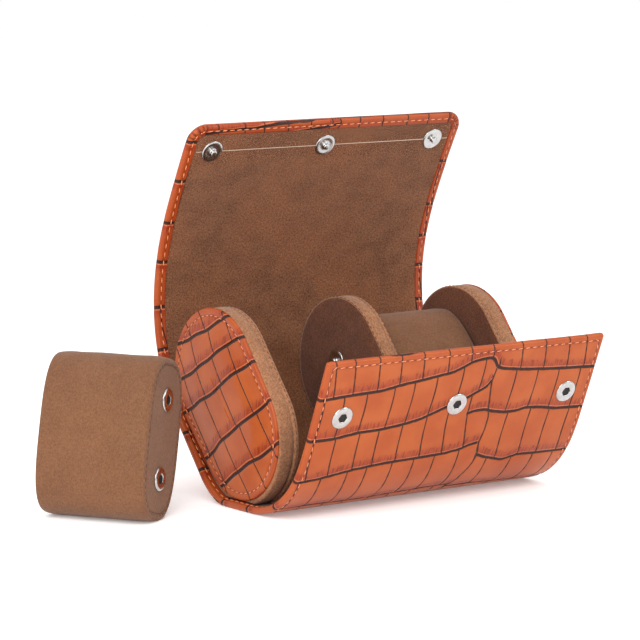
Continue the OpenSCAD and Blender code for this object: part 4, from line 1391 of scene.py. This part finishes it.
class WATCHCASE_OT_leather(bpy.types.Operator):
    """Make the embossed leather of the wrap, with its rolled edges and turned margins"""

    bl_idname = "watchcase.leather"
    bl_label = "Wrap Leather"

    def execute(self, context):
        made = [leather_sheet(piece, context.scene.watch_case.leather) for piece in wrap_pieces()]
        if not all(len(obj.data.polygons) for obj in made):
            raise RuntimeError("a piece of the wrap's leather is empty")
        return {"FINISHED"}


class WATCHCASE_OT_lining(bpy.types.Operator):
    """Make the suede lining of the wrap and the clear film at the studs"""

    bl_idname = "watchcase.lining"
    bl_label = "Wrap Lining"

    def execute(self, context):
        finish = material("lining_suede", suede, context.scene.watch_case.suede.lining, "UV", 1.0, 0.55)
        for piece in wrap_pieces():
            lining_sheet(piece, finish)
        film()
        return {"FINISHED"}


class WATCHCASE_OT_caps(bpy.types.Operator):
    """Make the two end caps and the divider"""

    bl_idname = "watchcase.caps"
    bl_label = "Caps and Divider"

    def execute(self, context):
        for side in ("left", "right"):
            end_cap(side, context.scene.watch_case)
        divider(context.scene.watch_case)
        return {"FINISHED"}


class WATCHCASE_OT_cushions(bpy.types.Operator):
    """Make the two suede cushions with their sockets"""

    bl_idname = "watchcase.cushions"
    bl_label = "Cushions"

    def execute(self, context):
        cushion("right_cushion", seated, context.scene.watch_case)
        cushion("loose_cushion", standing, context.scene.watch_case)
        return {"FINISHED"}


class WATCHCASE_OT_snaps(bpy.types.Operator):
    """Make the press snaps on the wrap, the right end cap and the divider"""

    bl_idname = "watchcase.snaps"
    bl_label = "Snaps"

    def execute(self, context):
        snaps(context.scene.watch_case)
        return {"FINISHED"}


class WATCHCASE_OT_stitches(bpy.types.Operator):
    """Sew the seams along the edges of the wrap"""

    bl_idname = "watchcase.stitches"
    bl_label = "Stitches"

    def execute(self, context):
        for piece in wrap_pieces():
            wrap_seam(piece, context.scene.watch_case)
        return {"FINISHED"}


class WATCHCASE_OT_inside(bpy.types.Operator):
    """Give the boards and foam inside the case their materials"""

    bl_idname = "watchcase.inside"
    bl_label = "Boards and Foam"

    def execute(self, context):
        looks = {
            "board": inner_material("stiffener_board", 150, 140, 128),
            "core": inner_material("foam", 225, 220, 205),
            "caps": nickel(context.scene.watch_case),
        }
        for name, node in FRAME["nodes"].items():
            kind = name.rsplit("_", 1)[-1]
            if kind in looks and not name.endswith("snap_caps"):
                node.data.materials.clear()
                node.data.materials.append(looks[kind])
        return {"FINISHED"}


class WATCHCASE_OT_stage(bpy.types.Operator):
    """Set up the floor, the lights and the camera"""

    bl_idname = "watchcase.stage"
    bl_label = "Stage"

    def execute(self, context):
        floor_and_lights(context.scene.watch_case.stage)
        camera(context.scene.watch_case.stage)
        if not context.scene.camera:
            raise RuntimeError("the camera is missing")
        return {"FINISHED"}


class WATCHCASE_PT_panel(bpy.types.Panel):
    """The case's builders and settings"""

    bl_idname = "WATCHCASE_PT_panel"
    bl_label = "Watch Travel Case"
    bl_space_type = "VIEW_3D"
    bl_region_type = "UI"
    bl_category = "Watch Case"

    def draw(self, context):
        for operator, group in BUILD:
            box = self.layout.box()
            box.operator(operator.bl_idname)
            if group:
                part = getattr(context.scene.watch_case, group)
                for key in type(part).__annotations__:
                    box.prop(part, key)


BUILD = (
    (WATCHCASE_OT_leather, "leather"),
    (WATCHCASE_OT_lining, "suede"),
    (WATCHCASE_OT_caps, None),
    (WATCHCASE_OT_cushions, None),
    (WATCHCASE_OT_snaps, "snaps"),
    (WATCHCASE_OT_stitches, "stitches"),
    (WATCHCASE_OT_inside, None),
    (WATCHCASE_OT_stage, "stage"),
)
GROUPS = (CaseLeather, CaseSuede, CaseStitches, CaseSnaps, CaseStage, CaseSettings)
CLASSES = GROUPS + tuple(operator for operator, _ in BUILD) + (WATCHCASE_PT_panel,)


def register():
    for cls in CLASSES:
        bpy.utils.register_class(cls)
    bpy.types.Scene.watch_case = PointerProperty(type=CaseSettings)


def unregister():
    del bpy.types.Scene.watch_case
    for cls in reversed(CLASSES):
        bpy.utils.unregister_class(cls)


def main():
    register()
    for operator, _ in BUILD:
        group, name = operator.bl_idname.split(".")
        getattr(getattr(bpy.ops, group), name)()
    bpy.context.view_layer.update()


if __name__ == "__main__":
    main()
